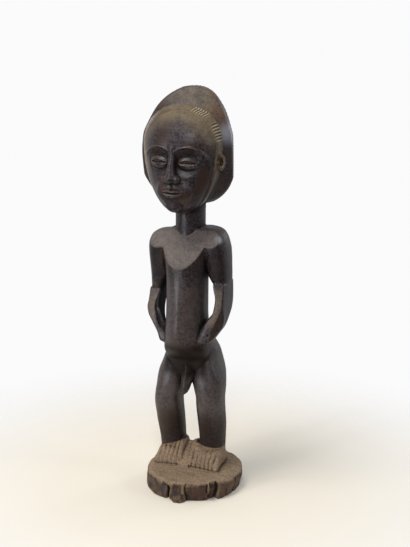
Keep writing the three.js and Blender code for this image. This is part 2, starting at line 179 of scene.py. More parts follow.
class Block:
    """The log as a field of signed distances in millimetres, negative inside the wood."""

    def __init__(self, axes):
        self.axes = axes
        self.field = np.full([len(a) for a in axes], FAR, np.float32)

    def window(self, low, high, margin=MARGIN):
        cut = []
        for axis, start, end in zip(self.axes, low, high):
            first = np.searchsorted(axis, start - margin)
            cut.append(slice(first, max(np.searchsorted(axis, end + margin), first + 2)))
        x, y, z = (axis[c] for axis, c in zip(self.axes, cut))
        return tuple(cut), x[:, None, None], y[None, :, None], z[None, None, :]

    def add(self, form, soft):
        low, high, distance = form
        cut, x, y, z = self.window(low, high)
        self.field[cut] = smooth_min(self.field[cut], distance(x, y, z), soft)

    def cut(self, form, soft):
        low, high, distance = form
        cut, x, y, z = self.window(low, high)
        self.field[cut] = smooth_max(self.field[cut], -distance(x, y, z), soft)

    def keep(self, low, high, distance, soft):
        """Keeps only what is inside a surface, within a window."""
        cut, x, y, z = self.window(low, high, 0)
        self.field[cut] = smooth_max(self.field[cut], distance(x, y, z), soft)

    def raise_by(self, low, high, height):
        """Raises the surface by a height in millimetres, or sinks it where that is negative."""
        cut, x, y, z = self.window(low, high, 0)
        self.field[cut] -= height(x, y, z)

    def uneven(self, low, high, lump, height, seed, where=None):
        """Random lumps of a given size along x, y and z, smooth as a hand leaves them."""
        cut, x, y, z = self.window(low, high, 0)
        rng = np.random.default_rng(seed)
        weights = []
        for axis, step in zip((x, y, z), lump):
            place = (axis.ravel() - axis.min()) / step
            i = np.floor(place).astype(int)
            t = place - i
            taps = ((1 - t) ** 3, 3 * t**3 - 6 * t**2 + 4, -3 * t**3 + 3 * t**2 + 3 * t + 1, t**3)
            weight = np.zeros((len(place), i.max() + 4), np.float32)
            for k, tap in enumerate(taps):
                weight[np.arange(len(place)), i + k] = tap / 6
            weights.append(weight)
        grid = rng.uniform(-2, 2, [w.shape[1] for w in weights]).astype(np.float32)
        swell = np.einsum("ia,jb,kc,abc->ijk", *weights, grid, optimize=True) * height
        self.field[cut] += swell if where is None else swell * where(x, y, z)


# Forms. Each is (lowest corner, highest corner, distance as a function of x, y and z).


def stacked(rows, power=2.0, edge=1.5, shape=None):
    """Superellipse sections stacked upwards. A row is (height, left, right, near, far): a section's
    two sides, then its front and back. shape may change the distances."""
    table = np.array(rows, float)
    low = [table[:, 1].min(), table[:, 3].min(), table[0, 0]]
    high = [table[:, 2].max(), table[:, 4].max(), table[-1, 0]]

    def distance(x, y, z):
        size = sizes_at(rows, z.ravel()).astype(np.float32)
        left, right, near, far = (size[:, k][None, None, :] for k in range(4))
        p = np.abs((x - (left + right) / 2) / ((right - left) / 2))
        q = np.abs((y - (near + far) / 2) / ((far - near) / 2))
        round_off = np.sqrt(p * p + q * q) if power == 2 else (p**power + q**power) ** (1 / power)
        d = even_distance(round_off - 1, x, y, z, 0.4 / max(size[:, 1].max() - size[:, 0].min(), 20))
        if shape:
            d = shape(d, x, y, z)
        d = smooth_max(d, rows[0][0] - z, edge)
        return smooth_max(d, z - rows[-1][0], edge)

    return low, high, distance


def about(middle, rows):
    """Rows of (place, half width, near, far) about a middle line."""
    return [(place, middle - half, middle + half, near, far) for place, half, near, far in rows]


def on_side(side, rows, raised=0.0):
    """Rows of (place, inner edge, outer edge, near, far) for a limb on one side of the body."""
    made = []
    for place, inner, outer, near, far in rows:
        edges = sorted((BODY_X + side * inner, BODY_X + side * outer))
        made.append((place + raised, *edges, near, far))
    return made


def lens(size, middle, turn=0.0):
    """A flattened ball, turned about the upright axis by an angle in radians."""
    reach = max(size)
    low = [m - reach for m in middle]
    high = [m + reach for m in middle]

    def distance(x, y, z):
        across = (x - middle[0]) * math.cos(turn) + (y - middle[1]) * math.sin(turn)
        deep = -(x - middle[0]) * math.sin(turn) + (y - middle[1]) * math.cos(turn)
        value = np.sqrt((across / size[0]) ** 2 + (deep / size[1]) ** 2 + ((z - middle[2]) / size[2]) ** 2)
        return even_distance(value - 1, x, y, z, 0.4 / reach)

    return low, high, distance


def bar(start, end, radius):
    """A round bar between two points, with round ends."""
    start, end = np.array(start, float), np.array(end, float)
    low = np.minimum(start, end) - radius
    high = np.maximum(start, end) + radius
    run = end - start

    def distance(x, y, z):
        along = ((x - start[0]) * run[0] + (y - start[1]) * run[1] + (z - start[2]) * run[2]) / (run @ run)
        along = np.clip(along, 0, 1)
        gap = [c - (start[k] + along * run[k]) for k, c in enumerate((x, y, z))]
        return np.sqrt(sum(g * g for g in gap)) - radius

    return low, high, distance


# The base.


def bearing_of(x, y):
    return np.degrees(np.arctan2(x, -y))


def base_form():
    reach = BASE_RADIUS + SPUR_OUT + 3

    def distance(x, y, z):
        bearing = bearing_of(x, y) + 0 * z
        radius = BASE_RADIUS + 0 * bearing
        for count, height, middle in BASE_LOBES:
            radius += height * np.cos(np.radians(count * (bearing - middle)))
        for start, end, deep, top in BASE_NOTCHES:
            # The sides of a notch follow the wood's grain and wander a little.
            off = (bearing - start + 0.9 * np.sin(z / 4.5 + start)) % 360
            inside = np.minimum(1, np.minimum(off, end - start - off) / NOTCH_WALL)
            radius -= deep * np.clip(inside, 0, 1) * ramp(top, top - 9, z)
        spur = np.clip(1.7 * (1 - np.abs(bearing - SPUR_BEARING) / SPUR_HALF), 0, 1)
        radius += SPUR_OUT * ramp(SPUR_HIGH, 0, z) * spur
        radius -= 2 * ramp(SPUR_HIGH, 0, z) * ramp(-34, 0, bearing)
        # On the figure's left the wall is undercut and its upper edge well worn.
        beside = hump((bearing - 82) / 52)
        radius -= 3 * beside * ramp(26, 4, z)
        d = np.hypot(x, y) - radius
        d = smooth_max(d, z - BASE_TOP, 4 + 12 * np.maximum(beside, hump((bearing + 60) / 50)))
        return smooth_max(d, -z, 1.0)

    return [-reach, -reach, 0], [reach, reach, BASE_TOP], distance


# The legs and feet.


def leg_form(side):
    out = 1.5 if side < 0 else 0
    less = 1.6 if side < 0 else -0.6
    rows = [
        (BASE_TOP - 6, 12 + out, 48 + out, -3, 34),
        (ANKLE - 14, 12 + out, 49.5 + out, -4, 34),
        (ANKLE + 6, 12.5 + out, 50.6 + out, -6, 33),
        (ANKLE + 38, 12.6 + out, 53 + out, -14, 31),
        (KNEE - 8, 12.8 + out, 53.4 + out, -22, 27),
        (KNEE + 6, 12.8 + out, 53.6, -24.5, 26),
        (CROTCH - 10, 9, 53.2 - less, -24, 30),
        (CROTCH + 10, 3, 51.4 - less, -21, 36),
        (HIP - 8, 2, 46 - less, -17, 41),
        (HIP + 8, 3, 40.4 - less, -11, 41),
        (HIP + 22, 6, 33 - less, -5, 37),
        (HIP + 36, 9, 25, 0, 31),
    ]
    return stacked(on_side(side, rows), power=2.35, edge=4)


def foot_form(side):
    inner, outer = FOOT_EDGES[side]
    sole = BASE_TOP - 6
    rows = on_side(side, [
        (TOE_FRONT, inner, outer, sole, BASE_TOP + 7),
        (TOE_FRONT + 4, inner - 1, outer + 1, sole, BASE_TOP + 11.5),
        (TOE_FRONT + 13, inner, outer, sole, BASE_TOP + 20.5),
        (-2, inner - 1, outer - 1, sole, BASE_TOP + 29.5),
        (12, inner - 3, outer - 2, sole, BASE_TOP + 34),
        (30, inner + 4, outer - 4, sole, BASE_TOP + 24),
        (40, inner + 10, outer - 9, sole, BASE_TOP + 12),
    ])
    low = [min(r[1] for r in rows), TOE_FRONT, sole]
    high = [max(r[2] for r in rows), 40, BASE_TOP + 45]
    power = 4.0

    def distance(x, y, z):
        across = (side * (x - BODY_X) - inner) / (outer - inner)
        run = y - TOE_SLANT * (1 - across) * ramp(10, TOE_FRONT, y)
        size = sizes_at(rows, run.ravel()).astype(np.float32).reshape(run.shape[:2] + (1, 4))
        left, right, under, top = (size[..., k] for k in range(4))
        # The inner ankle stands higher than the outer edge.
        top = top + ANKLE_RISE[side] * (0.6 - across) * ramp(-22, 8, y)
        p = np.abs((x - (left + right) / 2) / ((right - left) / 2)) ** power
        q = np.abs((z - (under + top) / 2) / ((top - under) / 2)) ** power
        d = even_distance((p + q) ** (1 / power) - 1, x, y, z, 0.01)
        wander = 0.012 * np.sin(y / 3 + 9 * across)
        valley = (0.5 + 0.5 * np.cos(2 * math.pi * TOE_COUNT[side] * (across + wander))) ** 1.5
        valley = valley * ramp(0.03, 0.1, across) * ramp(0.97, 0.9, across)
        reach = ramp(TOE_FRONT + TOE_LONG[side], TOE_FRONT + TOE_LONG[side] - 16, y)
        d = d + TOE_DEEP[side] * valley * reach
        d = smooth_max(d, (TOE_FRONT - run + 0.3 * (z - BASE_TOP)) / 1.04 + TOE_DEEP[side] * valley, 2.5)
        return smooth_max(d, run - 40, 4)

    return low, high, distance


def web_form():
    """Between the feet a slope of wood is left standing."""
    left, right = BODY_X - FOOT_EDGES[-1][0] - 3, BODY_X + FOOT_EDGES[1][0] + 3
    sole, top, back = BASE_TOP - 4, BASE_TOP + WEB_HIGH, 14

    def distance(x, y, z):
        slope = (z - BASE_TOP - WEB_SLOPE * (y - WEB_FOOT)) / math.hypot(1, WEB_SLOPE)
        d = smooth_max(slope, z - top, 3)
        d = smooth_max(d, np.abs(x - (left + right) / 2) - (right - left) / 2, 1)
        return np.maximum(np.maximum(d, y - back), sole - z)

    return [left, WEB_FOOT, sole], [right, back, top], distance


def manhood_form():
    rows = on_side(1, [
        (CROTCH - 16, -2.5, 2, -29, -22),
        (CROTCH - 12, -4.5, 6, -31, -17),
        (CROTCH, -4.5, 10.5, -30, -12),
        (CROTCH + 19, -4.5, 15, -28, -6),
        (CROTCH + 34, -4, 14, -24, 0),
    ])
    return stacked(rows, power=2.2, edge=3)


# The trunk and arms.


def trunk_form():
    rows = about(BODY_X, [
        (CROTCH + 4, 10, -12, 26),
        (HIP - 18, 28, -20, 34),
        (HIP, 34, -27, 38),
        (HIP + 14, 34.5, -40, 36),
        (HIP + 26, 32.5, -47.5, 34),
        (HIP + 46, 30, -49, 31),
        (ELBOW, 28.5, -46.5, 29),
        (CREASE + 15, 28.5, -43.5, 29),
        (SHOULDER - 53, 30, -42.5, 30),
        (SHOULDER - 34, 34.5, -41, 31),
        (SHOULDER - 18, 38, -35, 30),
        (SHOULDER - 6, 35, -24, 27),
        (SHOULDER + 1, 26, -14, 24),
    ])

    def keel(d, x, y, z):
        """A soft ridge runs down the belly's middle line."""
        high = ramp(HIP + 4, HIP + 34, z) * ramp(BREAST[1] - 12, BREAST[1] - 62, z)
        off = np.sqrt((x - BODY_X) ** 2 + 2.0)
        return d - np.where(y < 0, 3.0 * high * np.clip(1 - off / 19, 0, 1) ** 1.2, 0)

    return stacked(rows, power=2.25, edge=3, shape=keel)


def upper_arm_form(side):
    # The figure's left shoulder is rounder in front, and its right one reaches further out.
    back = 3.5 if side > 0 else 0
    out = 3 if side < 0 else 0
    rows = [
        (CREASE + 3 * side, 38, 60, -12.5, 31),
        (CREASE + 10, 33, 60.6, -14, 31),
        (CREASE + 18, 29, 61, -15, 31),
        (SHOULDER - 50, 27, 61.3, -19, 31),
        (SHOULDER - 34, 24, 61, back / 3 - 24, 31),
        (SHOULDER - 20, 20, 59 + out / 3, back - 27, 29),
        (SHOULDER - 8, 19, 53.5 + out, back - 22, 26),
        (SHOULDER - 2, 18, 46 + out, back - 13, 22),
        (SHOULDER, 18, 38, -6, 18),
    ]
    return stacked(on_side(side, rows, side * TILT), power=2.4, edge=1.5)


FOREARM_ROWS = {
    -1: [
        (HIP + 31, 24, 31, -30, -18),
        (HIP + 35, 21, 36, -34, -10),
        (HIP + 46, 27, 40.8, -32, -4),
        (HIP + 58, 38, 49.2, -28, 3),
        (HIP + 72, 43, 58.8, -25, 14),
        (ELBOW + 3, 46, 61, -23, 25),
        (ELBOW + 14, 44.5, 60, -20, 29),
        (CREASE - 4, 41, 59.5, -17, 30),
        (CREASE, 43, 57.5, -9, 26),
    ],
    1: [
        (HIP + 26, 26, 38, -30, -18),
        (HIP + 31, 23, 44, -34, -10),
        (HIP + 42, 26, 52, -34, -2),
        (HIP + 52, 29.5, 58, -32, 6),
        (HIP + 63, 36, 60.3, -30, 14),
        (ELBOW - 3, 43.5, 61, -25, 24),
        (ELBOW + 14, 45, 60.6, -20, 29),
        (CREASE + 4, 40.5, 60, -17, 30),
        (CREASE + 8, 41, 58, -9, 26),
    ],
}


# The way each facet of a forearm faces, as outward, backward and upward parts, and its distance.
FOREARM_FACETS = {
    -1: [((0.094, -0.944, 0.312), 111.5)],
    1: [((0.096, -0.962, 0.255), 98.2), ((0.805, -0.584, -0.107), 29.5)],
}


def forearm_form(side):
    """The forearm is squarer than the upper arm, with flat knife facets that meet in a clear edge."""

    def facets(d, x, y, z):
        off, up = side * (x - BODY_X), z - side * TILT
        for facing, reach in FOREARM_FACETS[side]:
            d = smooth_max(d, off * facing[0] + y * facing[1] + up * facing[2] - reach, 0.8)
        return d

    return stacked(on_side(side, FOREARM_ROWS[side], side * TILT), power=3.8, edge=1.2, shape=facets)


def finger_cuts(block, side):
    for finger in range(3):
        x = BODY_X + side * (34 + 3 * finger)
        y = -36 + 8 * finger
        z = HIP + 34 + side * TILT
        block.cut(bar((x - side * 8, y + 3, z - 9), (x + side * 8, y - 6, z + 12), 0.9), 0.8)


def chest_plane(x, y, z):
    """Height over the adzed plane of the chest: positive in front of it."""
    lean = math.atan2(NECK_FOOT[0] - BREAST[0], NECK_FOOT[1] - BREAST[1])
    return 0 * x - (y - BREAST[0]) * math.cos(lean) + (z - BREAST[1]) * math.sin(lean)


def breasts(x, y, z):
    """The chest is a little squarer than the belly, so that the plane's lower edge is a broad U."""
    swell = 0
    for side in (-1, 1):
        swell = swell + hump((x - BODY_X - side * 15) / 22) * hump((z - BREAST[1] - 2) / 34)
    return 1.3 * swell * (y < -8)


def neck_form():
    rows = about(BODY_X - 0.5, [
        (SHOULDER - 36, 22.5, -11, 29),
        (SHOULDER - 10, 21.8, -16, 28),
        (CHIN + 8, 21.8, -16, 28),
        (CHIN + 30, 22, -17, 28),
    ])
    return stacked(rows)


# The head.

HEAD_ROWS = [
    (CHIN, 7, -37, -14),
    (CHIN + 4, 18, -45.5, -5),
    (CHIN + 12, 28.5, -50.5, 8),
    (CHIN + 30, 40, -53, 18),
    (CHIN + 52, 49, -54, 25),
    (CHIN + 78, FACE_HALF - 1, -56, 29),
    (CHIN + 98, FACE_HALF, -56.8, 30),
    (CHIN + 112, FACE_HALF - 2.4, -54.4, 28),
    (HAIRLINE - 24, 48.3, -50.2, 25),
    (HAIRLINE - 15, 42.6, -44.6, 19),
    (HAIRLINE - 7, 33, -36.6, 12),
    (HAIRLINE - 1.5, 21, -27.6, 3),
    (HAIRLINE + 2, 7, -18, -8),
]


def on_face(off, z, sunk=0.0):
    """A place on the front of the egg, off its middle line and at a height, sunk by some depth."""
    half, front, back = sizes_at(HEAD_ROWS, np.array([z]))[0]
    bulge = math.sqrt(1 - (off / half) ** 2)
    return HEAD_X + off, (front + back) / 2 - (back - front) / 2 * bulge + sunk, z


def carve_eye(block, side):
    """A hollow under the arched brow, with a full closed lid in it."""
    turn = side * 0.32
    block.cut(lens((24.5, 8.0, 21.5), on_face(side * EYE_X, EYE_Z, -1.5), turn), 2.6)
    block.add(lens((EYE_HALF + 5, 7.5, 10), on_face(side * EYE_X, EYE_Z, 6.0), turn), 1.2)
    middle = on_face(side * EYE_X, EYE_Z, 0)
    half, tall = EYE_HALF + 2, 4.4

    def lids(x, y, z):
        """The lids meet in a slit, and a fine raised line follows the edge of each."""
        off = (x - middle[0]) / half
        arch = 1 - np.minimum(off * off, 1)
        over, under = z - EYE_Z - tall * arch, EYE_Z - 0.85 * tall * arch - z
        inside = ramp(0.5, -0.5, np.maximum(over, under))
        edges = np.exp(-((over / 0.85) ** 2)) + np.exp(-((under / 0.85) ** 2))
        slit = np.exp(-(((z - EYE_Z) / 0.95) ** 2)) * ramp(1, 0.85, np.abs(off))
        return (0.75 * edges - 0.8 * inside - 1.8 * slit) * (arch > 0) * (y < middle[1] + 9)

    low = [middle[0] - half, middle[1] - 6, EYE_Z - 8]
    high = [middle[0] + half, middle[1] + 9, EYE_Z + 8]
    block.raise_by(low, high, lids)


def carve_brow(block, side):
    """A fine raised line edges the brow's arch."""
    x0, z0 = HEAD_X + side * EYE_X, EYE_Z

    def line(x, y, z):
        away = np.hypot((x - x0) / 25.5, (z - z0) / 22.6)
        above = ramp(z0 + 1, z0 + 9, z)
        return 1.5 * above * np.exp(-(((away - 1) * 24 / 1.2) ** 2)) * (y < -20)

    block.raise_by([x0 - 30, -75, z0], [x0 + 30, -15, z0 + 26], line)


def nose_form():
    rows = about(HEAD_X, [
        (NOSE_Z - 1, 4, -64, -50),
        (NOSE_Z + 1, 8.5, -69, -50),
        (NOSE_Z + 6, 8.5, -71.5, -50),
        (NOSE_Z + 13, 6.2, -69.5, -50),
        (NOSE_Z + 28, 4.6, -65, -50),
        (BROW_Z - 8, 4.4, -60.8, -50),
        (BROW_Z + 2, 6, -58.6, -50),
        (BROW_Z + 9, 8, -56, -50),
    ])
    return stacked(rows, power=1.8, edge=2.5)


def carve_nose(block):
    block.add(nose_form(), 2.5)
    for side in (-1, 1):
        block.add(lens((5.6, 7, 5.8), (HEAD_X + side * 8, -59.5, NOSE_Z + 5)), 2.0)
        block.cut(lens((2.6, 3.2, 2.2), (HEAD_X + side * 5.6, -65.5, NOSE_Z - 0.6)), 1.0)


def carve_mouth(block):
    """The lips stand on a low swelling, with a clear edge and a fine line between them."""
    block.add(lens((25, 8, 16), on_face(0, MOUTH_Z + 1, 4.4)), 9.0)
    front = on_face(0, MOUTH_Z)[1]
    half = 16

    def lips(x, y, z):
        off = (x - HEAD_X) / half
        arch = 1 - np.minimum(off * off, 1)
        meet = MOUTH_Z + 0.9 * off * off
        bow = 1.2 * np.exp(-(((x - HEAD_X) / 2.8) ** 2))
        upper = np.clip((z - meet) / (0.01 + 6.2 * arch**0.7 - bow * arch), 0, 1)
        lower = np.clip((meet - z) / (0.01 + 6.6 * arch**0.7), 0, 1)
        full = 2.6 * (4 * upper * (1 - upper)) ** 0.6 + 3.0 * (4 * lower * (1 - lower)) ** 0.6
        groove = 1.2 * np.exp(-(((z - meet) / 0.8) ** 2))
        dip = 0.8 * np.exp(-(((x - HEAD_X) / 1.8) ** 2)) * ramp(MOUTH_Z + 5, MOUTH_Z + 8, z)
        return ((full - groove) * arch**0.3 - dip) * (y < front + 10)

    block.raise_by([HEAD_X - half, front - 14, MOUTH_Z - 9], [HEAD_X + half, front + 10, NOSE_Z - 2], lips)
    chin = on_face(0, CHIN + 13)
    block.add(lens((12, 5, 8), (HEAD_X, chin[1] + 1.6, CHIN + 12)), 5.0)


def egg_form(grown=0.0):
    rows = []
    for i, (z, half, near, far) in enumerate(HEAD_ROWS):
        lift = -grown if i == 0 else grown if i == len(HEAD_ROWS) - 1 else 0
        rows.append((z + lift, half + grown, near - grown, far + grown))
    return stacked(about(HEAD_X, rows), edge=3)


def prouder(x):
    return RIM_MORE * ramp(HEAD_X + 10, HEAD_X - 25, x)


def rim_form():
    """The raised oval band of the hairline and the beard's edge."""
    low, high, egg = egg_form(RIM_PROUD)
    middle, half = (RIM_FRONT + RIM_BACK) / 2, (RIM_BACK - RIM_FRONT) / 2

    def distance(x, y, z):
        return smooth_max(egg(x, y, z) - prouder(x), np.abs(y - middle) - half, 2.5)

    return [low[0] - RIM_MORE, RIM_FRONT, low[2]], [high[0], RIM_BACK, high[2]], distance


def around_head(x, z):
    """Degrees round the face from straight up, towards the figure's left."""
    return np.degrees(np.arctan2(x - HEAD_X, z - FACE_MIDDLE))


def hatch(x, y, z):
    """Slanting knife cuts across the band, worn away between the two groups."""
    angle = around_head(x, z)
    cuts = 0
    for start, end, step in HATCHED:
        cut = (0.5 + 0.5 * np.cos(2 * math.pi * (angle + HATCH_SLANT * (y - RIM_BACK)) / step)) ** 1.5
        cuts = cuts + cut * ramp(start, start + 3, angle) * ramp(end, end - 4, angle)
    return cuts * ramp(HATCH_FRONT - 1, HATCH_FRONT + 2, y) * ramp(RIM_BACK + 2, RIM_BACK - 1, y)


HAIR_ROWS = [
    (CHIN + 6, 17, 5, 36),
    (CHIN + 11, 36, -12, 46),
    (CHIN + 24, 52.5, -30, 54),
    (CHIN + 37, 61.5, -42, 58),
    (CHIN + 48, 66, -50, 59),
    (CHIN + 84, 67.2, -60, 59),
    (CHIN + 104, 66, -57, 59),
    (CHIN + 122, 61, -49, 57),
    (CHIN + 140, 53, -37, 55),
    (CROWN - 21, 44, -25, 51),
    (CROWN - 11, 34.5, -11, 46),
    (CROWN - 4, 22.5, -1, 42),
    (CROWN, 12, 8, 36),
]
# The dome falls short of its mirror image by this much on the figure's right, row by row.
HAIR_LESS = [0, 0, 0, 0, -1.2, -2.0, -1.0, 0.4, 1.4, 2.2, 3.2, 4.0, 3.0]


def outside_face(x, z):
    """How far a place lies outside the face's outline, seen from the front."""
    heights = np.linspace(CHIN, HAIRLINE + 2, 90)
    half = sizes_at(HEAD_ROWS, heights)[:, 0]
    corners = [(0, CHIN), *zip(half, heights), (0, HAIRLINE + 2)]
    off = np.abs(x - HEAD_X) + 0 * z
    up = z + 0 * x
    nearest = np.full(off.shape, 1e9)
    for (x0, z0), (x1, z1) in zip(corners, corners[1:]):
        run = (x1 - x0) ** 2 + (z1 - z0) ** 2
        t = np.clip(((off - x0) * (x1 - x0) + (up - z0) * (z1 - z0)) / run, 0, 1)
        nearest = np.minimum(nearest, np.hypot(off - x0 - t * (x1 - x0), up - z0 - t * (z1 - z0)))
    inside = (off < np.interp(up, heights, half)) & (up > CHIN) & (up < HAIRLINE + 2)
    return np.where(inside, -nearest, nearest).astype(np.float32)


def hair_form():
    """The dome of hair: it springs from the band, slopes back and out, and two broad bands cross behind."""
    rows = about(HEAD_X, HAIR_ROWS)
    rows = [(z, left + less, *rest) for (z, left, *rest), less in zip(rows, HAIR_LESS)]
    low, high, dome = stacked(rows, edge=3)

    def distance(x, y, z):
        d = dome(x, y, z)
        topmost = np.clip(np.cos(np.radians(around_head(x, z))), 0, 1) ** 3
        beside = HAIR_SLOPE[-1] + (HAIR_SLOPE[1] - HAIR_SLOPE[-1]) * ramp(-12, 12, x - HEAD_X)
        slope = beside + (HAIR_SLOPE_TOP - beside) * topmost
        front = outside_face(x, z) - RIM_PROUD - prouder(x) - slope * (y - RIM_BACK)
        front = front / np.sqrt(1 + slope * slope)
        # The panels between the crossing bands are sunk.
        off_x = np.abs(x - HEAD_X) - CROSS_HALF - 0.18 * np.abs(z - CROSS_Z)
        off_z = np.abs(z - CROSS_Z) - CROSS_HALF - 0.18 * np.abs(x - HEAD_X)
        panel = smooth_min(smooth_min(off_x, off_z, 4), y - 34, 6)
        sunk = CROSS_SUNK * ramp(-1.5, 1.5, panel) * ramp(CROWN - 16, CROWN - 44, z)
        d = smooth_max(d + sunk, front, 2.0)
        # The crown is worn flat, and falls off a little towards the figure's left.
        flat = z - CROWN + 0.8 + 0.16 * np.maximum(x - HEAD_X - 7, 0)
        return smooth_max(d, flat, 0.8)

    return [low[0], RIM_BACK - 4, low[2]], high, distance


def chisel_lines(x, y, z):
    """A few short chisel strokes at the front of the crown, all the same way."""
    marks = 0
    for stroke in range(3):
        across, along = x - HEAD_X + 20 - 3.2 * stroke, z - CROWN + 14 + 1.5 * stroke
        off = 0.75 * across - 0.66 * along
        run = 0.66 * across + 0.75 * along
        marks = marks + np.exp(-((off / 0.8) ** 2)) * ramp(-4.5, -3, run) * ramp(4.5, 3, run)
    return -0.7 * marks + 0 * y


def strands(x, y, z):
    """Combed lines run back over the dome, and along the bands behind."""
    run = np.radians(around_head(x, z)) * 62
    comb = np.cos(2 * math.pi * run / 4.2) * ramp(8, 26, y) * ramp(34, 28, y)
    upright = np.cos(2 * math.pi * (x - HEAD_X) / 5.6) * ramp(CROSS_HALF, CROSS_HALF - 3, np.abs(x - HEAD_X))
    level = np.cos(2 * math.pi * (z - CROSS_Z) / 5.6) * ramp(CROSS_HALF, CROSS_HALF - 3, np.abs(z - CROSS_Z))
    behind = ramp(30, 38, y)
    band = np.where(np.abs(z - CROSS_Z) < CROSS_HALF, level, upright)
    return 0.16 * comb + 0.45 * band * behind


def carve_ear(block, side):
    """A small C-shaped ear that faces half forward from a recess in the band."""
    x0, y0 = HEAD_X + side * EAR_X[side], EAR_Y[side]
    cos, sin = math.cos(EAR_TURN), math.sin(EAR_TURN)

    def at(across, out, up):
        """A place from the ear's middle: towards its back edge, out of the head, and up."""
        return x0 + side * (across * cos + out * sin), y0 + across * sin - out * cos, EAR_Z + up

    def ridge(x, y, z):
        aside, behind = side * (x - x0), y - y0
        across, out = aside * cos + behind * sin, aside * sin - behind * cos
        up, along = (z - EAR_Z) / EAR_TALL, across / EAR_DEEP
        ring = (np.hypot(up, along) - 1) * (EAR_TALL + EAR_DEEP) / 2
        open_front = np.maximum(np.abs(np.degrees(np.arctan2(up, along))) - 112, 0) / 8
        return np.sqrt(ring**2 + (0.6 * (out + 0.6)) ** 2 + open_front**2) - EAR_THICK

    turn = side * EAR_TURN
    block.cut(lens((EAR_DEEP + 2.5, 5, EAR_TALL + 3), at(-0.5, 4.0, 0), turn), 0.8)
    reach = np.array([EAR_DEEP + 4, EAR_DEEP + 4, EAR_TALL + 3])
    middle = np.array([x0, y0, EAR_Z])
    block.add((middle - reach, middle + reach, ridge), 0.9)
    block.add(lens((2.2, 2.6, 3.4), at(-4.5, 0, -1), turn), 0.8)
    # A deeper cut parts the ear from the hair above it.
    block.cut(bar(at(3, 1, EAR_TALL + 3), at(7, 0, EAR_TALL - 3), 1.8), 1.2)


def carve_head(block):
    block.add(egg_form(), 1.0)
    for side in (-1, 1):
        carve_eye(block, side)
        carve_brow(block, side)
    carve_nose(block)
    carve_mouth(block)
    block.add(neck_form(), 2.0)
    block.add(rim_form(), 1.0)
    block.add(hair_form(), 0.8)
    block.raise_by([HEAD_X - 32, -2, CROWN - 26], [HEAD_X, 30, CROWN], chisel_lines)
    for side in (-1, 1):
        carve_ear(block, side)
    low, high = [HEAD_X - 10, RIM_FRONT - 3, CHIN + 30], [HEAD_X + 62, RIM_BACK + 3, HAIRLINE + 6]
    block.raise_by(low, high, lambda x, y, z: -HATCH_DEEP * hatch(x, y, z))
    block.raise_by([HEAD_X - 70, RIM_BACK, CHIN], [HEAD_X + 70, 62, CROWN + 3], strands)
    low, high = [HEAD_X - 76, RIM_BACK + 2, CHIN], [HEAD_X + 76, 66, CROWN + 4]
    block.uneven(low, high, (8, 8, 12), 0.4, 5)


def carve_body(block):
    for side in (-1, 1):
        block.add(upper_arm_form(side), 1.0)
    block.add(trunk_form(), 3.0)
    block.raise_by([BODY_X - 45, -60, BREAST[1] - 45], [BODY_X + 45, -5, BREAST[1] + 25], breasts)
    block.keep([-85, -60, BREAST[1] - 8], [85, 40, SHOULDER + 12], chest_plane, 0.8)
    block.add(manhood_form(), 1.0)
    for side in (-1, 1):
        block.add(leg_form(side), 2.5)
    for side in (-1, 1):
        block.add(forearm_form(side), 1.2)
        finger_cuts(block, side)


def carve_base(block):
    block.add(base_form(), 1.0)
    for side in (-1, 1):
        block.add(foot_form(side), 1.5)
    block.add(web_form(), 0.8)


def rough_base(block):
    """The base is left rough: tool marks on top, upright grain and weathering on the wall."""
    low, high = [-90, -90, -4], [90, 90, BASE_TOP + 4]

    def wall(x, y, z):
        return ramp(62, 68, np.hypot(x, y)) * ramp(-1, 3, z)

    block.uneven(low, high, (3.2, 3.2, 22), 0.28, 1, wall)
    block.uneven(low, high, (10, 10, 14), 0.8, 2, wall)
    block.uneven(low, high, (6, 3, 30), 0.3, 3, lambda x, y, z: ramp(12, 22, z) + 0 * x + 0 * y)


def carve():
    coarse = 1.0
    across = spaced([(-86, 80, 0.95 * coarse)])
    deep = spaced([(-88, -20, 0.95 * coarse), (-20, -6, 0.7 * coarse), (-6, 78, 0.95 * coarse)])
    up = spaced([(-4, 36, 0.95 * coarse), (36, 416, 1.3 * coarse), (416, 604, 0.8 * coarse)])
    block = Block((across, deep, up))
    carve_body(block)
    carve_base(block)
    carve_head(block)
    rough_base(block)
    block.uneven([-90, -90, 40], [90, 90, 606], (9, 9, 22), 0.22, 4)
    block.uneven([-90, -90, 66], [90, 90, CHIN], (5, 5, 9), 0.16, 6)
    return block


# From the block to one closed mesh: one point in each cell that the surface crosses.


CELL_CORNERS = list(product((0, 1), repeat=3))


def crossing_points(field, axes, cells):
    total = np.zeros((len(cells), 3), np.float64)
    count = np.zeros(len(cells))
    for a in CELL_CORNERS:
        for axis in range(3):
            if a[axis]:
                continue
            b = tuple(v + (k == axis) for k, v in enumerate(a))
            ia, ib = cells + a, cells + b
            fa, fb = field[tuple(ia.T)], field[tuple(ib.T)]
            crossed = (fa < 0) != (fb < 0)
            t = np.where(crossed, fa / np.where(crossed, fa - fb, 1), 0)
            for k in range(3):
                start, end = axes[k][ia[:, k]], axes[k][ib[:, k]]
                total[:, k] += np.where(crossed, start + t * (end - start), 0)
            count += crossed
    return total / count[:, None]


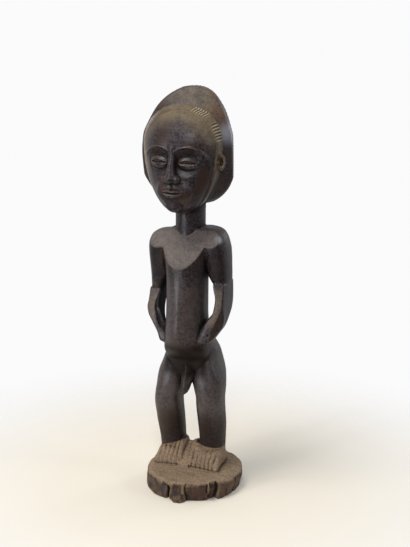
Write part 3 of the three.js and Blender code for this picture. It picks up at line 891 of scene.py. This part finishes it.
def surface(block):
    inside = block.field < 0
    shape = [n - 1 for n in inside.shape]
    corner_count = np.zeros(shape, np.int8)
    for corner in CELL_CORNERS:
        corner_count += inside[tuple(slice(a, n + a) for a, n in zip(corner, shape))]
    cells = np.argwhere((corner_count > 0) & (corner_count < 8))
    number = np.full(shape, -1, np.int32)
    number[tuple(cells.T)] = np.arange(len(cells))
    points = crossing_points(block.field, block.axes, cells)
    quads = []
    for axis in range(3):
        start = [slice(0, -1) if k == axis else slice(1, -1) for k in range(3)]
        end = [slice(1, None) if k == axis else slice(1, -1) for k in range(3)]
        here, there = inside[tuple(start)], inside[tuple(end)]
        for forward in (True, False):
            edge = np.argwhere(here & ~there if forward else there & ~here)
            edge += [0 if k == axis else 1 for k in range(3)]
            u, v = (axis + 1) % 3, (axis + 2) % 3
            ring = []
            for du, dv in ((-1, -1), (0, -1), (0, 0), (-1, 0)):
                cell = edge.copy()
                cell[:, u] += du
                cell[:, v] += dv
                ring.append(number[tuple(cell.T)])
            quads.append(np.stack(ring if forward else ring[::-1], axis=1))
    return points, np.concatenate(quads)


def mesh_of(name, points, quads):
    mesh = bpy.data.meshes.new(name)
    mesh.vertices.add(len(points))
    mesh.vertices.foreach_set("co", (points * MM).astype(np.float32).ravel())
    mesh.loops.add(quads.size)
    mesh.loops.foreach_set("vertex_index", quads.astype(np.int32).ravel())
    mesh.polygons.add(len(quads))
    mesh.polygons.foreach_set("loop_start", np.arange(0, quads.size, 4, dtype=np.int32))
    mesh.update(calc_edges=True)
    mesh.validate()
    return mesh


def thinned(obj, triangles):
    """Takes points away where the surface is nearly flat, down to a number of triangles."""
    have = 2 * len(obj.data.polygons)
    if have > triangles:
        modifier = obj.modifiers.new("thin", "DECIMATE")
        modifier.ratio = triangles / have
        graph = bpy.context.evaluated_depsgraph_get()
        lighter = bpy.data.meshes.new_from_object(obj.evaluated_get(graph))
        obj.modifiers.clear()
        old = obj.data
        obj.data = lighter
        bpy.data.meshes.remove(old)
    obj.data.polygons.foreach_set("use_smooth", np.ones(len(obj.data.polygons), bool))


# Masks of the surface's shape, each a number from 0 to 1 at every point: worn on its ridges and edges, hollow
# and deep in its recesses, where shade is painted dark.

MASKS = ("worn", "hollow", "deep")


def blurred(field, steps):
    """Means over a box of 2 * steps + 1 cells a side."""
    made = field
    for axis in range(3):
        padded = np.concatenate([
            np.repeat(made.take([0], axis), steps + 1, axis),
            made,
            np.repeat(made.take([-1], axis), steps, axis),
        ], axis)
        total = np.cumsum(padded, axis=axis, dtype=np.float64)
        size = made.shape[axis]
        upper = total.take(range(2 * steps + 1, size + 2 * steps + 1), axis)
        lower = total.take(range(0, size), axis)
        made = ((upper - lower) / (2 * steps + 1)).astype(np.float32)
    return made


def read_at(field, axes, points):
    """Values of a field at points between its places."""
    index, part = [], []
    for k, axis in enumerate(axes):
        i = np.clip(np.searchsorted(axis, points[:, k]) - 1, 0, len(axis) - 2)
        index.append(i)
        part.append(np.clip((points[:, k] - axis[i]) / (axis[i + 1] - axis[i]), 0, 1))
    total = 0
    for corner in CELL_CORNERS:
        weight = math.prod(p if far else 1 - p for p, far in zip(part, corner))
        total = total + weight * field[tuple(i + far for i, far in zip(index, corner))]
    return total


def surface_masks(block, mesh):
    points = np.empty(3 * len(mesh.vertices), np.float32)
    mesh.vertices.foreach_get("co", points)
    points = points.reshape(-1, 3) / MM
    near = np.clip(block.field, -6, 6)
    fine = read_at(blurred(near, 2), block.axes, points)
    broad = read_at(blurred(near, 6), block.axes, points)
    masks = ramp(0.15, 0.6, fine), ramp(-0.1, -0.6, fine), ramp(-0.1, -1.6, broad)
    for name, values in zip(MASKS, masks):
        mesh.attributes.new(name, "FLOAT", "POINT").data.foreach_set("value", values.astype(np.float32))


# Materials.


def linear(hex_colour):
    """An sRGB hex colour as linear red, green, blue and alpha."""
    parts = [int(hex_colour[i:i + 2], 16) / 255 for i in (1, 3, 5)]
    return [c / 12.92 if c <= 0.04045 else ((c + 0.055) / 1.055) ** 2.4 for c in parts] + [1.0]


def node(tree, kind, inputs=(), out=0, **settings):
    """Adds a node and gives one of its outputs. Inputs are values, colours or other nodes' outputs."""
    made = tree.nodes.new("ShaderNode" + kind)
    for name, value in settings.items():
        setattr(made, name, value)
    for socket, value in inputs.items() if isinstance(inputs, dict) else enumerate(inputs):
        if isinstance(value, bpy.types.NodeSocket):
            tree.links.new(value, made.inputs[socket])
        else:
            made.inputs[socket].default_value = linear(value) if isinstance(value, str) else value
    return made.outputs[out]


# Settings that many nodes share. A colour mix takes its amount at 0 and its colours at A and B.
PLUS, MINUS, TIMES, LARGER = (dict(operation=name) for name in ("ADD", "SUBTRACT", "MULTIPLY", "MAXIMUM"))
EASED = dict(interpolation_type="SMOOTHSTEP")
COLOURS, A, B = dict(data_type="RGBA", out=2), 6, 7


def all_of(tree, *masks):
    """1 where every mask is 1."""
    made = masks[0]
    for mask in masks[1:]:
        made = node(tree, "Math", (made, mask), **TIMES)
    return made


def any_of(tree, *masks):
    """1 where at least one mask is 1."""
    made = masks[0]
    for mask in masks[1:]:
        made = node(tree, "Math", (made, mask), **LARGER)
    return made


def painted(tree, colour, layers):
    """Lays colours over one another: each layer is (how much, colour)."""
    for amount, over in layers:
        colour = node(tree, "Mix", {0: amount, A: colour, B: over}, **COLOURS)
    return colour


def between(tree, value, start, full, full_end, end, unit=MM):
    """1 between two places, easing to 0 outside them."""
    rise = node(tree, "MapRange", (value, start * unit, full * unit), **EASED)
    fall = node(tree, "MapRange", (value, end * unit, full_end * unit), **EASED)
    return all_of(tree, rise, fall)


def lumps(tree, size_mm, detail, rough=0.5, stretch=(1, 1, 1)):
    """Random patches of a real size in the wood, drawn out along its grain where stretch says so."""
    place = node(tree, "NewGeometry", out="Position")
    mapped = node(tree, "Mapping", {"Vector": place, "Scale": stretch})
    inputs = {"Vector": mapped, "Scale": 1 / (size_mm * MM), "Detail": detail, "Roughness": rough}
    return node(tree, "TexNoise", inputs, normalize=True)


def around(tree, middle, radius, soft):
    """1 within a radius of a place, both in millimetres."""
    place = node(tree, "NewGeometry", out="Position")
    away = node(tree, "VectorMath", (place, [c * MM for c in middle]), out="Value", operation="DISTANCE")
    return node(tree, "MapRange", (away, (radius + soft) * MM, (radius - soft) * MM), **EASED)


def new_material(name):
    """A new material with its tree and its shader."""
    material = bpy.data.materials.new(name)
    material.use_nodes = True
    return material, material.node_tree, material.node_tree.nodes["Principled BSDF"]


def painted_board():
    """Matte cream paint on a board, plain and without shine. It fades out into the white studio."""
    material, tree, shader = new_material("matte_painted_board")
    shader.inputs["Base Color"].default_value = linear("#f1eada")
    shader.inputs["Roughness"].default_value = 0.85
    place = node(tree, "NewGeometry", out="Position")
    away = node(tree, "VectorMath", (place,), out="Value", operation="LENGTH")
    fade = node(tree, "MapRange", (away, *FLOOR_FADE), **EASED)
    clear = node(tree, "BsdfTransparent")
    both = node(tree, "MixShader", (fade, shader.outputs["BSDF"], clear))
    tree.links.new(both, tree.nodes["Material Output"].inputs["Surface"])
    return material


# Heights of each mark, of wear, dust, painted shade and painted light: where it starts, where it is full, up
# to where, and where it ends.
SHINS_DARK = (ANKLE - 2, ANKLE + 2, ANKLE + 38, ANKLE + 64)
SHINS_DULL = (ANKLE - 2, ANKLE + 2, ANKLE + 30, ANKLE + 70)
THIGHS_RUBBED = (KNEE - 24, KNEE + 6, HIP - 4, HIP + 14)
GROIN_SHADED = (CROTCH + 4, CROTCH + 20, HIP + 22, HIP + 34)
BELLY_RUBBED = (HIP + 27, HIP + 40, CREASE - 10, CREASE + 35)
GAPS_SHADED = (HIP + 32, HIP + 44, CREASE, CREASE + 20)
FOREARMS_RUBBED_AND_LIT = (HIP + 52, HIP + 68, CREASE, CREASE + 6)
ARMS_DARK = (CREASE + 8, CREASE + 14, CREASE + 50, CREASE + 74)
CHEST_DUSTY = (BREAST[1] - 13, BREAST[1] - 8, SHOULDER - 1, SHOULDER + 3)
SHOULDERS_DUSTY = (SHOULDER - 34, SHOULDER - 14, SHOULDER + 18, SHOULDER + 20)
BAND_PALE = (CHIN + 11, CHIN + 30, HAIRLINE - 21, HAIRLINE - 3)

# Places of single marks: a red-brown patch on the hair, a painted reflection on the hair, a painted highlight
# on the shoulder, and marks on the base's wall.
RED_HAIR, HAIR_REFLECTION_SPOT, SHOULDER_HIGHLIGHT_SPOT = (38, -5, 565), (49, 2, 536), (43, -15, 386)
WALL_PALE, WALL_PANEL, WALL_SOOT = (66, -34, 8), (30, -63, 12), (-20, -70, 14)


def arm_gap_shade(tree, x, y, z):
    """1 on the sides of the trunk and forearm that face each other, on the figure's right, where shade is
    painted dark.
    """
    add = partial(node, tree)
    facing = add("SeparateXYZ", (add("NewGeometry", out="Normal"),), out="X")
    on_arm = add("MapRange", (facing, 0.0, 0.3), **EASED)
    on_trunk = add("MapRange", (x, (BODY_X - 38) * MM, (BODY_X - 35) * MM), **EASED)
    aside = add("MapRange", (x, (BODY_X - 18) * MM, (BODY_X - 26) * MM), **EASED)
    beside = between(tree, y, -16, -8, 16, 28)
    return all_of(tree, any_of(tree, on_arm, on_trunk), aside, beside, between(tree, z, *GAPS_SHADED))


def groin_shade(tree, off, y, z):
    """1 under the belly and between the thighs, in front only, where shade is painted dark."""
    middle = node(tree, "MapRange", (off, 38 * MM, 28 * MM), **EASED)
    front = node(tree, "MapRange", (y, 8 * MM, -6 * MM), **EASED)
    return all_of(tree, middle, front, between(tree, z, *GROIN_SHADED))


def smoked_wood(tree, x, off, y, z, worn, hollow, deep, specks, blotches):
    """Near-black patina over brown wood, lighter where the belly, thighs and forearms are rubbed. The
    forearms' front facets are also painted lighter as if lit, and shade is painted dark under the belly,
    between trunk and forearm and in recesses.
    """
    add = partial(node, tree)
    middle = add("MapRange", (off, 36 * MM, 26 * MM), **EASED)
    outer = add("MapRange", (off, 34 * MM, 38 * MM), **EASED)
    front = add("MapRange", (y, -8 * MM, -18 * MM), **EASED)
    ahead = add("SeparateXYZ", (add("NewGeometry", out="Normal"),), out="Y")
    facet = add("MapRange", (ahead, -0.68, -0.88), **EASED)
    flecked = all_of(tree, add("MapRange", (blotches, 0.3, 0.62, 0.5, 1.0), **EASED),
                     add("MapRange", (specks, 0.36, 0.58, 0.45, 1.0), **EASED))
    belly = all_of(tree, middle, front, between(tree, z, *BELLY_RUBBED), flecked)
    apart = add("MapRange", (off, 8 * MM, 20 * MM), **EASED)
    thighs = all_of(tree, between(tree, z, *THIGHS_RUBBED), apart, flecked)
    forearms = all_of(tree, outer, front, facet, between(tree, z, *FOREARMS_RUBBED_AND_LIT), flecked)
    shaded = any_of(tree, deep, add("Math", (hollow, 0.55), **TIMES))
    return painted(tree, "#1d1717", [
        (add("MapRange", (specks, 0.44, 0.58), **EASED), "#413536"),
        (add("MapRange", (lumps(tree, 24, 3, 0.5, (1, 1, 0.6)), 0.46, 0.66), **EASED), "#3a2820"),
        (any_of(tree, belly, thighs), "#534b48"),
        # The forearms' front facets are rubbed lighter, and painted lighter still as if lit from above.
        (forearms, "#695848"),
        (all_of(tree, outer, between(tree, z, *ARMS_DARK), 0.5), "#1b1515"),
        # Shade is painted dark under the belly and between the thighs.
        (all_of(tree, groin_shade(tree, off, y, z), 0.85), "#1e1511"),
        (all_of(tree, between(tree, z, *SHINS_DARK), 0.5), "#261b16"),
        # Shade is painted dark where trunk and forearm face each other.
        (all_of(tree, arm_gap_shade(tree, x, y, z), 0.85), "#17110f"),
        (all_of(tree, worn, add("MapRange", (specks, 0.35, 0.7), **EASED)), "#5e5046"),
        (add("Math", (shaded, 0.8), **TIMES), "#15100f"),
    ])


def chest_dust(tree, x, z, up):
    """Grey dust on the chest's plane and over the shoulders."""
    add = partial(node, tree)
    lean = math.atan2(NECK_FOOT[0] - BREAST[0], NECK_FOOT[1] - BREAST[1])
    place = add("NewGeometry", out="Position")
    normal = (0, -math.cos(lean), math.sin(lean))
    height = add("VectorMath", (place, normal), out="Value", operation="DOT_PRODUCT")
    plane = (-BREAST[0] * math.cos(lean) + BREAST[1] * math.sin(lean)) * MM
    off_plane = add("Math", (add("Math", (height, plane), **MINUS),), operation="ABSOLUTE")
    bib = add("MapRange", (off_plane, 1.3 * MM, 0.7 * MM), **EASED)
    bib = all_of(tree, bib, between(tree, z, *CHEST_DUSTY))
    shoulders = add("MapRange", (up, 0.35, 0.8, 0.0, 0.6), **EASED)
    shoulders = all_of(tree, shoulders, between(tree, z, *SHOULDERS_DUSTY))
    shoulders = all_of(tree, shoulders, add("MapRange", (x, 40 * MM, 24 * MM, 0.2, 1.0), **EASED))
    return any_of(tree, bib, shoulders)


def head_dust(tree, x, y, z, up):
    """Warm dust in a crescent over the forehead, along the hairline's band and over the crown."""
    add = partial(node, tree)
    ahead = add("MapRange", (y, (RIM_BACK + 1) * MM, (RIM_BACK - 1) * MM), **EASED)
    behind = add("Math", (1.0, ahead), **MINUS)
    half_wide, half_tall = FACE_HALF + 5, HAIRLINE - FACE_MIDDLE + 3
    side = add("Math", (add("Math", (x, HEAD_X * MM), **MINUS), half_wide * MM), operation="DIVIDE")
    rise = add("Math", (add("Math", (z, FACE_MIDDLE * MM), **MINUS), half_tall * MM), operation="DIVIDE")
    out = add("VectorMath", (add("CombineXYZ", (side, rise)),), out="Value", operation="LENGTH")
    wander = add("Math", (lumps(tree, 14, 4, 0.6), 0.12), **TIMES)
    out = add("Math", (add("Math", (out, wander), **PLUS), 0.06), **MINUS)
    less_right = add("MapRange", (x, (HEAD_X - 44) * MM, (HEAD_X - 12) * MM, 0.35, 1.0), **EASED)
    crescent = all_of(tree, ahead, less_right, add("MapRange", (out, 0.66, 0.97), **EASED),
                      between(tree, z, FACE_MIDDLE + 2, HAIRLINE - 31, CROWN, CROWN + 10))
    on_band = between(tree, y, RIM_FRONT - 1, RIM_FRONT + 1, RIM_BACK, RIM_BACK + 2)
    band = all_of(tree, on_band, between(tree, z, CHIN + 15, FACE_MIDDLE + 2, CROWN - 10, CROWN), 0.75)
    facing = add("MapRange", (up, 0.15, 0.8), **EASED)
    crown = all_of(tree, behind, facing, between(tree, z, HAIRLINE - 36, CROWN - 14, CROWN + 10, CROWN + 20))
    crown = all_of(tree, crown, add("MapRange", (x, -46 * MM, -4 * MM, 0.1, 0.62), **EASED))
    patchy = add("MapRange", (lumps(tree, 11, 4, 0.65), 0.36, 0.62, 0.45, 1.0), **EASED)
    crown = all_of(tree, crown, patchy)
    return ahead, behind, any_of(tree, crescent, band, crown)


def hatch_marks(tree, colour, x, y, z):
    """Pale dust stands on the ridges between the band's slanting cuts, and soot lies in them."""
    add = partial(node, tree)
    from_x = add("Math", (x, HEAD_X * MM), **MINUS)
    from_z = add("Math", (z, FACE_MIDDLE * MM), **MINUS)
    angle = add("Math", (add("Math", (from_x, from_z), operation="ARCTAN2"),), operation="DEGREES")
    slant = add("Math", (add("Math", (y, RIM_BACK * MM), **MINUS), HATCH_SLANT / MM), **TIMES)
    run = add("Math", (angle, slant), **PLUS)
    on_band = between(tree, y, HATCH_FRONT - 2, HATCH_FRONT + 1, RIM_BACK, RIM_BACK + 1.5)
    uneven = add("MapRange", (lumps(tree, 5, 3, 0.6), 0.35, 0.6, 0.7, 1.0), **EASED)
    for start, end, step in HATCHED:
        stripe = add("Math", (add("Math", (run, 2 * math.pi / step), **TIMES),), operation="COSINE")
        here = all_of(tree, between(tree, angle, start, start + 3, end - 4, end, 1), on_band, uneven)
        colour = painted(tree, colour, [
            (all_of(tree, here, add("MapRange", (stripe, -0.1, 0.8, 0.0, 0.8), **EASED)), "#3a2d21"),
            (all_of(tree, here, add("MapRange", (stripe, 0.0, -0.9, 0.0, 0.9), **EASED)), "#b5a688"),
        ])
    return colour


def base_wall(tree, x, y, z, grain, blotches):
    """The wall's dark stain, with a sooty patch, a red-brown panel and a paler side."""
    add = partial(node, tree)
    streaks = add("Math", (add("Math", (grain, 0.3), **TIMES), add("Math", (blotches, 0.7), **TIMES)), **PLUS)
    dark = painted(tree, "#2c1f19", [(around(tree, WALL_PALE, 24, 12), "#4d3b2d")])
    panel = all_of(tree, around(tree, WALL_PANEL, 12, 5),
                   add("MapRange", (blotches, 0.25, 0.5), **EASED), 0.75)
    # A chip shows yellow wood along the spur's edge.
    bearing = add("Math", (x, add("Math", (y, -1.0), **TIMES)), operation="ARCTAN2")
    chip = all_of(tree, between(tree, bearing, 6.5, 8, 9.5, 10.5, math.radians(1)),
                  between(tree, z, 12, 15, 24, 27), 0.5)
    return painted(tree, dark, [
        (add("MapRange", (streaks, 0.4, 0.62), **EASED), "#5f4a38"),
        (panel, "#3f261d"),
        (all_of(tree, around(tree, WALL_SOOT, 7, 6), 0.8), "#2c2d33"),
        (chip, "#937d58"),
    ])


def dry_wood(tree, x, y, z, up, worn, hollow, deep, specks, blotches, grain):
    """Bare weathered wood of the feet and base, its wall stained dark."""
    add = partial(node, tree)
    # Fine dark lines run across the top. The real ones are finer still.
    lines = lumps(tree, 1.9, 4, 0.65, (0.1, 1, 1))
    lined = all_of(tree, add("MapRange", (up, 0.8, 0.97), **EASED),
                   add("MapRange", (lines, 0.5, 0.36, 0.0, 0.6), **EASED))
    away = add("VectorMath", (add("CombineXYZ", (x, y)),), out="Value", operation="LENGTH")
    wall = all_of(tree, add("MapRange", (away, 58 * MM, 66 * MM), **EASED),
                  add("MapRange", (up, 0.75, 0.3), **EASED))
    height = add("Math", (z, 1 / (BASE_TOP * MM)), **TIMES)
    stain = add("Math", (add("Math", (height, add("Math", (blotches, 0.6), **TIMES)), **PLUS), 0.3), **MINUS)
    foot_line = all_of(tree, between(tree, z, BASE_TOP + 0.6, BASE_TOP + 1, BASE_TOP + 2, BASE_TOP + 3.2),
                       add("MapRange", (up, 0.85, 0.55), **EASED), 0.6)
    stained = all_of(tree, wall, add("MapRange", (stain, 1.0, 0.72), **EASED))
    sunk = add("Math", (deep, add("Math", (add("Math", (wall, 0.6), **TIMES), 0.3), **PLUS)), **TIMES)
    return painted(tree, "#77634f", [
        (add("MapRange", (grain, 0.3, 0.7), **EASED), "#9c866b"),
        (lined, "#4b3a29"),
        (add("MapRange", (specks, 0.46, 0.7, 0.0, 0.75), **EASED), "#55442f"),
        (stained, base_wall(tree, x, y, z, grain, blotches)),
        (add("Math", (worn, 0.15), **TIMES), "#a08b70"),
        (foot_line, "#2a1f17"),
        # Shade is painted dark in the recesses of the feet and base.
        (add("Math", (any_of(tree, hollow, sunk), 0.85), **TIMES), "#160f0b"),
    ])


def below_ankles(tree, x, z):
    """1 below a slanting line round each ankle, where the patina ends."""
    add = partial(node, tree)
    on_right = add("Math", (x, 0.0), operation="LESS_THAN")
    on_left = add("Math", (1.0, on_right), **MINUS)
    inward = add("Math", (add("Math", (x, 10 * MM), **PLUS), 0.0), operation="MINIMUM")
    right_line = add("Math", (inward, 0.318, 67.9 * MM), operation="MULTIPLY_ADD")
    left_line = add("Math", (x, -0.068, 63.1 * MM), operation="MULTIPLY_ADD")
    line = add("Math", (all_of(tree, right_line, on_right), all_of(tree, left_line, on_left)), **PLUS)
    under = add("Math", (line, z), **MINUS)
    return add("MapRange", (under, -0.8 * MM, 0.8 * MM), **EASED)


def patinated_hardwood():
    """Hardwood under a century of oil, soot and handling: near black with a satin shine where hands rubbed
    it, grey-brown where dust lies, and dry matte brown on the feet and base. Shade is painted dark in its
    recesses, under the belly and between trunk and forearm; a highlight, a reflection and lighter lit facets
    are painted pale on the shoulder, hair, band edge and forearms."""
    material, tree, shader = new_material("oiled_and_smoked_hardwood")
    add = partial(node, tree)
    place = add("NewGeometry", out="Position")
    x, y, z = (add("SeparateXYZ", (place,), out=axis) for axis in "XYZ")
    up = add("SeparateXYZ", (add("NewGeometry", out="Normal"),), out="Z")
    off = add("Math", (add("Math", (x, BODY_X * MM), **MINUS),), operation="ABSOLUTE")
    worn, hollow, deep = (add("Attribute", out="Fac", attribute_name=name) for name in MASKS)
    specks, blotches = lumps(tree, 3.2, 5, 0.7), lumps(tree, 9, 5, 0.6)
    grain = lumps(tree, 1.8, 4, 0.6, (1, 1, 0.08))

    grey = chest_dust(tree, x, z, up)
    ahead, behind, warm = head_dust(tree, x, y, z, up)
    dry = below_ankles(tree, x, z)
    gap_shade = arm_gap_shade(tree, x, y, z)
    uneven = add("Math", (add("MapRange", (blotches, 0.3, 0.7, 0.4, 0.7), **EASED),
                          add("MapRange", (specks, 0.35, 0.65, 0.0, 0.35), **EASED)), **PLUS)
    # The band's front edge is rubbed pale, and painted paler as its highlight, all down the figure's right
    # side.
    edge = all_of(tree, between(tree, y, RIM_FRONT - 1, RIM_FRONT + 1, RIM_FRONT + 3, RIM_FRONT + 5),
                  add("MapRange", (x, (HEAD_X - 16) * MM, (HEAD_X - 34) * MM), **EASED),
                  between(tree, z, *BAND_PALE), 0.9)
    hair_gloss_and_reflection = all_of(tree, around(tree, HAIR_REFLECTION_SPOT, 14, 8), behind)
    reddish = all_of(tree, around(tree, RED_HAIR, 22, 9), add("MapRange", (specks, 0.3, 0.6), **EASED))
    smoked = painted(tree, smoked_wood(tree, x, off, y, z, worn, hollow, deep, specks, blotches), [
        (reddish, "#5d4433"),
        # A pale reflection of a window is painted on the hair at the figure's left, where the hair is also
        # less rough.
        (all_of(tree, hair_gloss_and_reflection, 0.85), "#86858a"),
        # A pale highlight is painted on the front of the figure's left shoulder.
        (all_of(tree, around(tree, SHOULDER_HIGHLIGHT_SPOT, 5, 4), 0.9), "#a6a6ac"),
        (all_of(tree, grey, uneven), "#6e645d"),
        (all_of(tree, warm, uneven), "#77684f"),
        (edge, "#a89c8f"),
    ])
    bare = dry_wood(tree, x, y, z, up, worn, hollow, deep, specks, blotches, grain)
    colour = painted(tree, hatch_marks(tree, smoked, x, y, z), [(dry, bare)])
    tree.links.new(colour, shader.inputs["Base Color"])

    rough = add("MapRange", (specks, 0.0, 1.0, 0.26, 0.52))
    brow = all_of(tree, ahead, add("MapRange", (up, 0.25, 0.55), **EASED),
                  between(tree, z, HAIRLINE - 33, HAIRLINE - 21, CROWN + 10, CROWN + 20))
    dull = add("Math", (behind, add("Math", (hair_gloss_and_reflection, 0.4), **TIMES)), **MINUS)
    least = ((grey, 0.62), (warm, 0.75), (dull, 0.52), (brow, 0.7), (deep, 0.7), (gap_shade, 0.9), (dry, 0.85))
    rough = any_of(tree, rough, *(add("Math", (mask, value), **TIMES) for mask, value in least))
    tree.links.new(rough, shader.inputs["Roughness"])

    # Nothing shines where shade is painted dark, under the belly, between trunk and forearm and in recesses,
    # and little shines on the shins.
    shins = add("Math", (between(tree, z, *SHINS_DULL), 0.6), **TIMES)
    sheen_off = any_of(tree, groin_shade(tree, off, y, z), gap_shade, hollow, deep, shins)
    sheen = add("MapRange", (sheen_off, 0.0, 1.0, 0.5, 0.12))
    tree.links.new(sheen, shader.inputs["Specular IOR Level"])

    relief = add("Math", (add("Math", (grain, 0.4), **TIMES), add("Math", (specks, 0.6), **TIMES)), **PLUS)
    bump = add("Bump", {"Strength": 0.6, "Distance": 0.6 * MM, "Height": relief})
    tree.links.new(bump, shader.inputs["Normal"])
    return material


def placed(name, data):
    """Puts an object in the scene."""
    obj = bpy.data.objects.new(name, data)
    bpy.context.scene.collection.objects.link(obj)
    return obj


def carve_figure():
    block = carve()
    obj = placed("carved_figure", mesh_of("carved_figure", *surface(block)))
    thinned(obj, TRIANGLES)
    surface_masks(block, obj.data)
    obj.data.materials.append(patinated_hardwood())
    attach(obj, "root")
    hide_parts(NODE)


# The stage: floor, light and camera.

CAMERA_FOCAL_PX, PHOTO_HEIGHT_PX = 1250, 547
CAMERA_AZIMUTH, CAMERA_PITCH = math.radians(22), math.radians(14.57)
CAMERA_AWAY, CAMERA_HIGH, CAMERA_ASIDE = 1.772, 0.789, 0.0152


def make_camera():
    camera = bpy.data.cameras.new("camera")
    camera.sensor_fit = "VERTICAL"
    camera.lens = CAMERA_FOCAL_PX / PHOTO_HEIGHT_PX * camera.sensor_height
    camera.clip_end = 200
    obj = placed("camera", camera)
    right = (math.cos(CAMERA_AZIMUTH), math.sin(CAMERA_AZIMUTH))
    obj.location = (
        CAMERA_AWAY * right[1] + CAMERA_ASIDE * right[0],
        -CAMERA_AWAY * right[0] + CAMERA_ASIDE * right[1],
        CAMERA_HIGH,
    )
    obj.rotation_euler = (math.pi / 2 - CAMERA_PITCH, 0, CAMERA_AZIMUTH)
    bpy.context.scene.camera = obj


def make_floor():
    turns = [2 * math.pi * k / FLOOR_SIDES for k in range(FLOOR_SIDES)]
    ring = [(FLOOR_RADIUS * math.cos(turn), FLOOR_RADIUS * math.sin(turn), 0) for turn in turns]
    mesh = bpy.data.meshes.new("floor")
    mesh.from_pydata(ring, [], [tuple(range(FLOOR_SIDES))])
    mesh.materials.append(painted_board())
    placed("floor", mesh)


def soft_light(name, place, size, watts, colour):
    light = bpy.data.lights.new(name, "AREA")
    light.shape = "RECTANGLE"
    light.size, light.size_y = size
    light.energy = watts
    light.color = linear(colour)[:3]
    obj = placed(name, light)
    obj.location = place
    middle = (0, 0, CROWN / 2 * MM)
    aim = np.array(middle) - np.array(place)
    obj.rotation_euler = (
        math.acos(-aim[2] / np.linalg.norm(aim)),
        0,
        math.atan2(aim[1], aim[0]) - math.pi / 2,
    )


def make_light():
    world = bpy.data.worlds.new("studio")
    world.use_nodes = True
    tree = world.node_tree
    shade = tree.nodes["Background"]
    shade.inputs["Strength"].default_value = 0.98
    # The studio lights the figure from above, less from behind, and hardly from the near side.
    towards = node(tree, "TexCoord", out="Generated")
    near = node(tree, "VectorMath", (towards, (0.35, -0.9, -0.2)), out="Value", operation="DOT_PRODUCT")
    dim = node(tree, "MapRange", (near, -0.45, 0.4), **EASED)
    studio = node(tree, "Mix", {0: dim, A: "#cccdd0", B: "#454343"}, **COLOURS)
    # Seen straight, it is plain white all round.
    seen = node(tree, "LightPath", out="Is Camera Ray")
    tree.links.new(node(tree, "Mix", {0: seen, A: studio, B: "#fdfdfe"}, **COLOURS), shade.inputs["Color"])
    bpy.context.scene.world = world
    soft_light("overhead", (-0.5, -0.7, 2.2), (0.9, 0.9), 26, "#fffaf2")
    soft_light("left_window", (-0.95, -1.75, 0.45), (0.22, 0.9), 14, "#f4f6ff")
    soft_light("right_window", (0.8, 1.5, 0.8), (0.4, 0.8), 4, "#f2f6ff")
    soft_light("right_side", (1.5, 0.0, 0.9), (0.3, 0.3), 3, "#eef3ff")
    soft_light("right_front", (0.55, -1.35, 1.3), (0.2, 0.3), 8.5, "#f4f6ff")
    bpy.context.scene.view_settings.view_transform = "Standard"


make_camera()
carve_figure()
make_floor()
make_light()
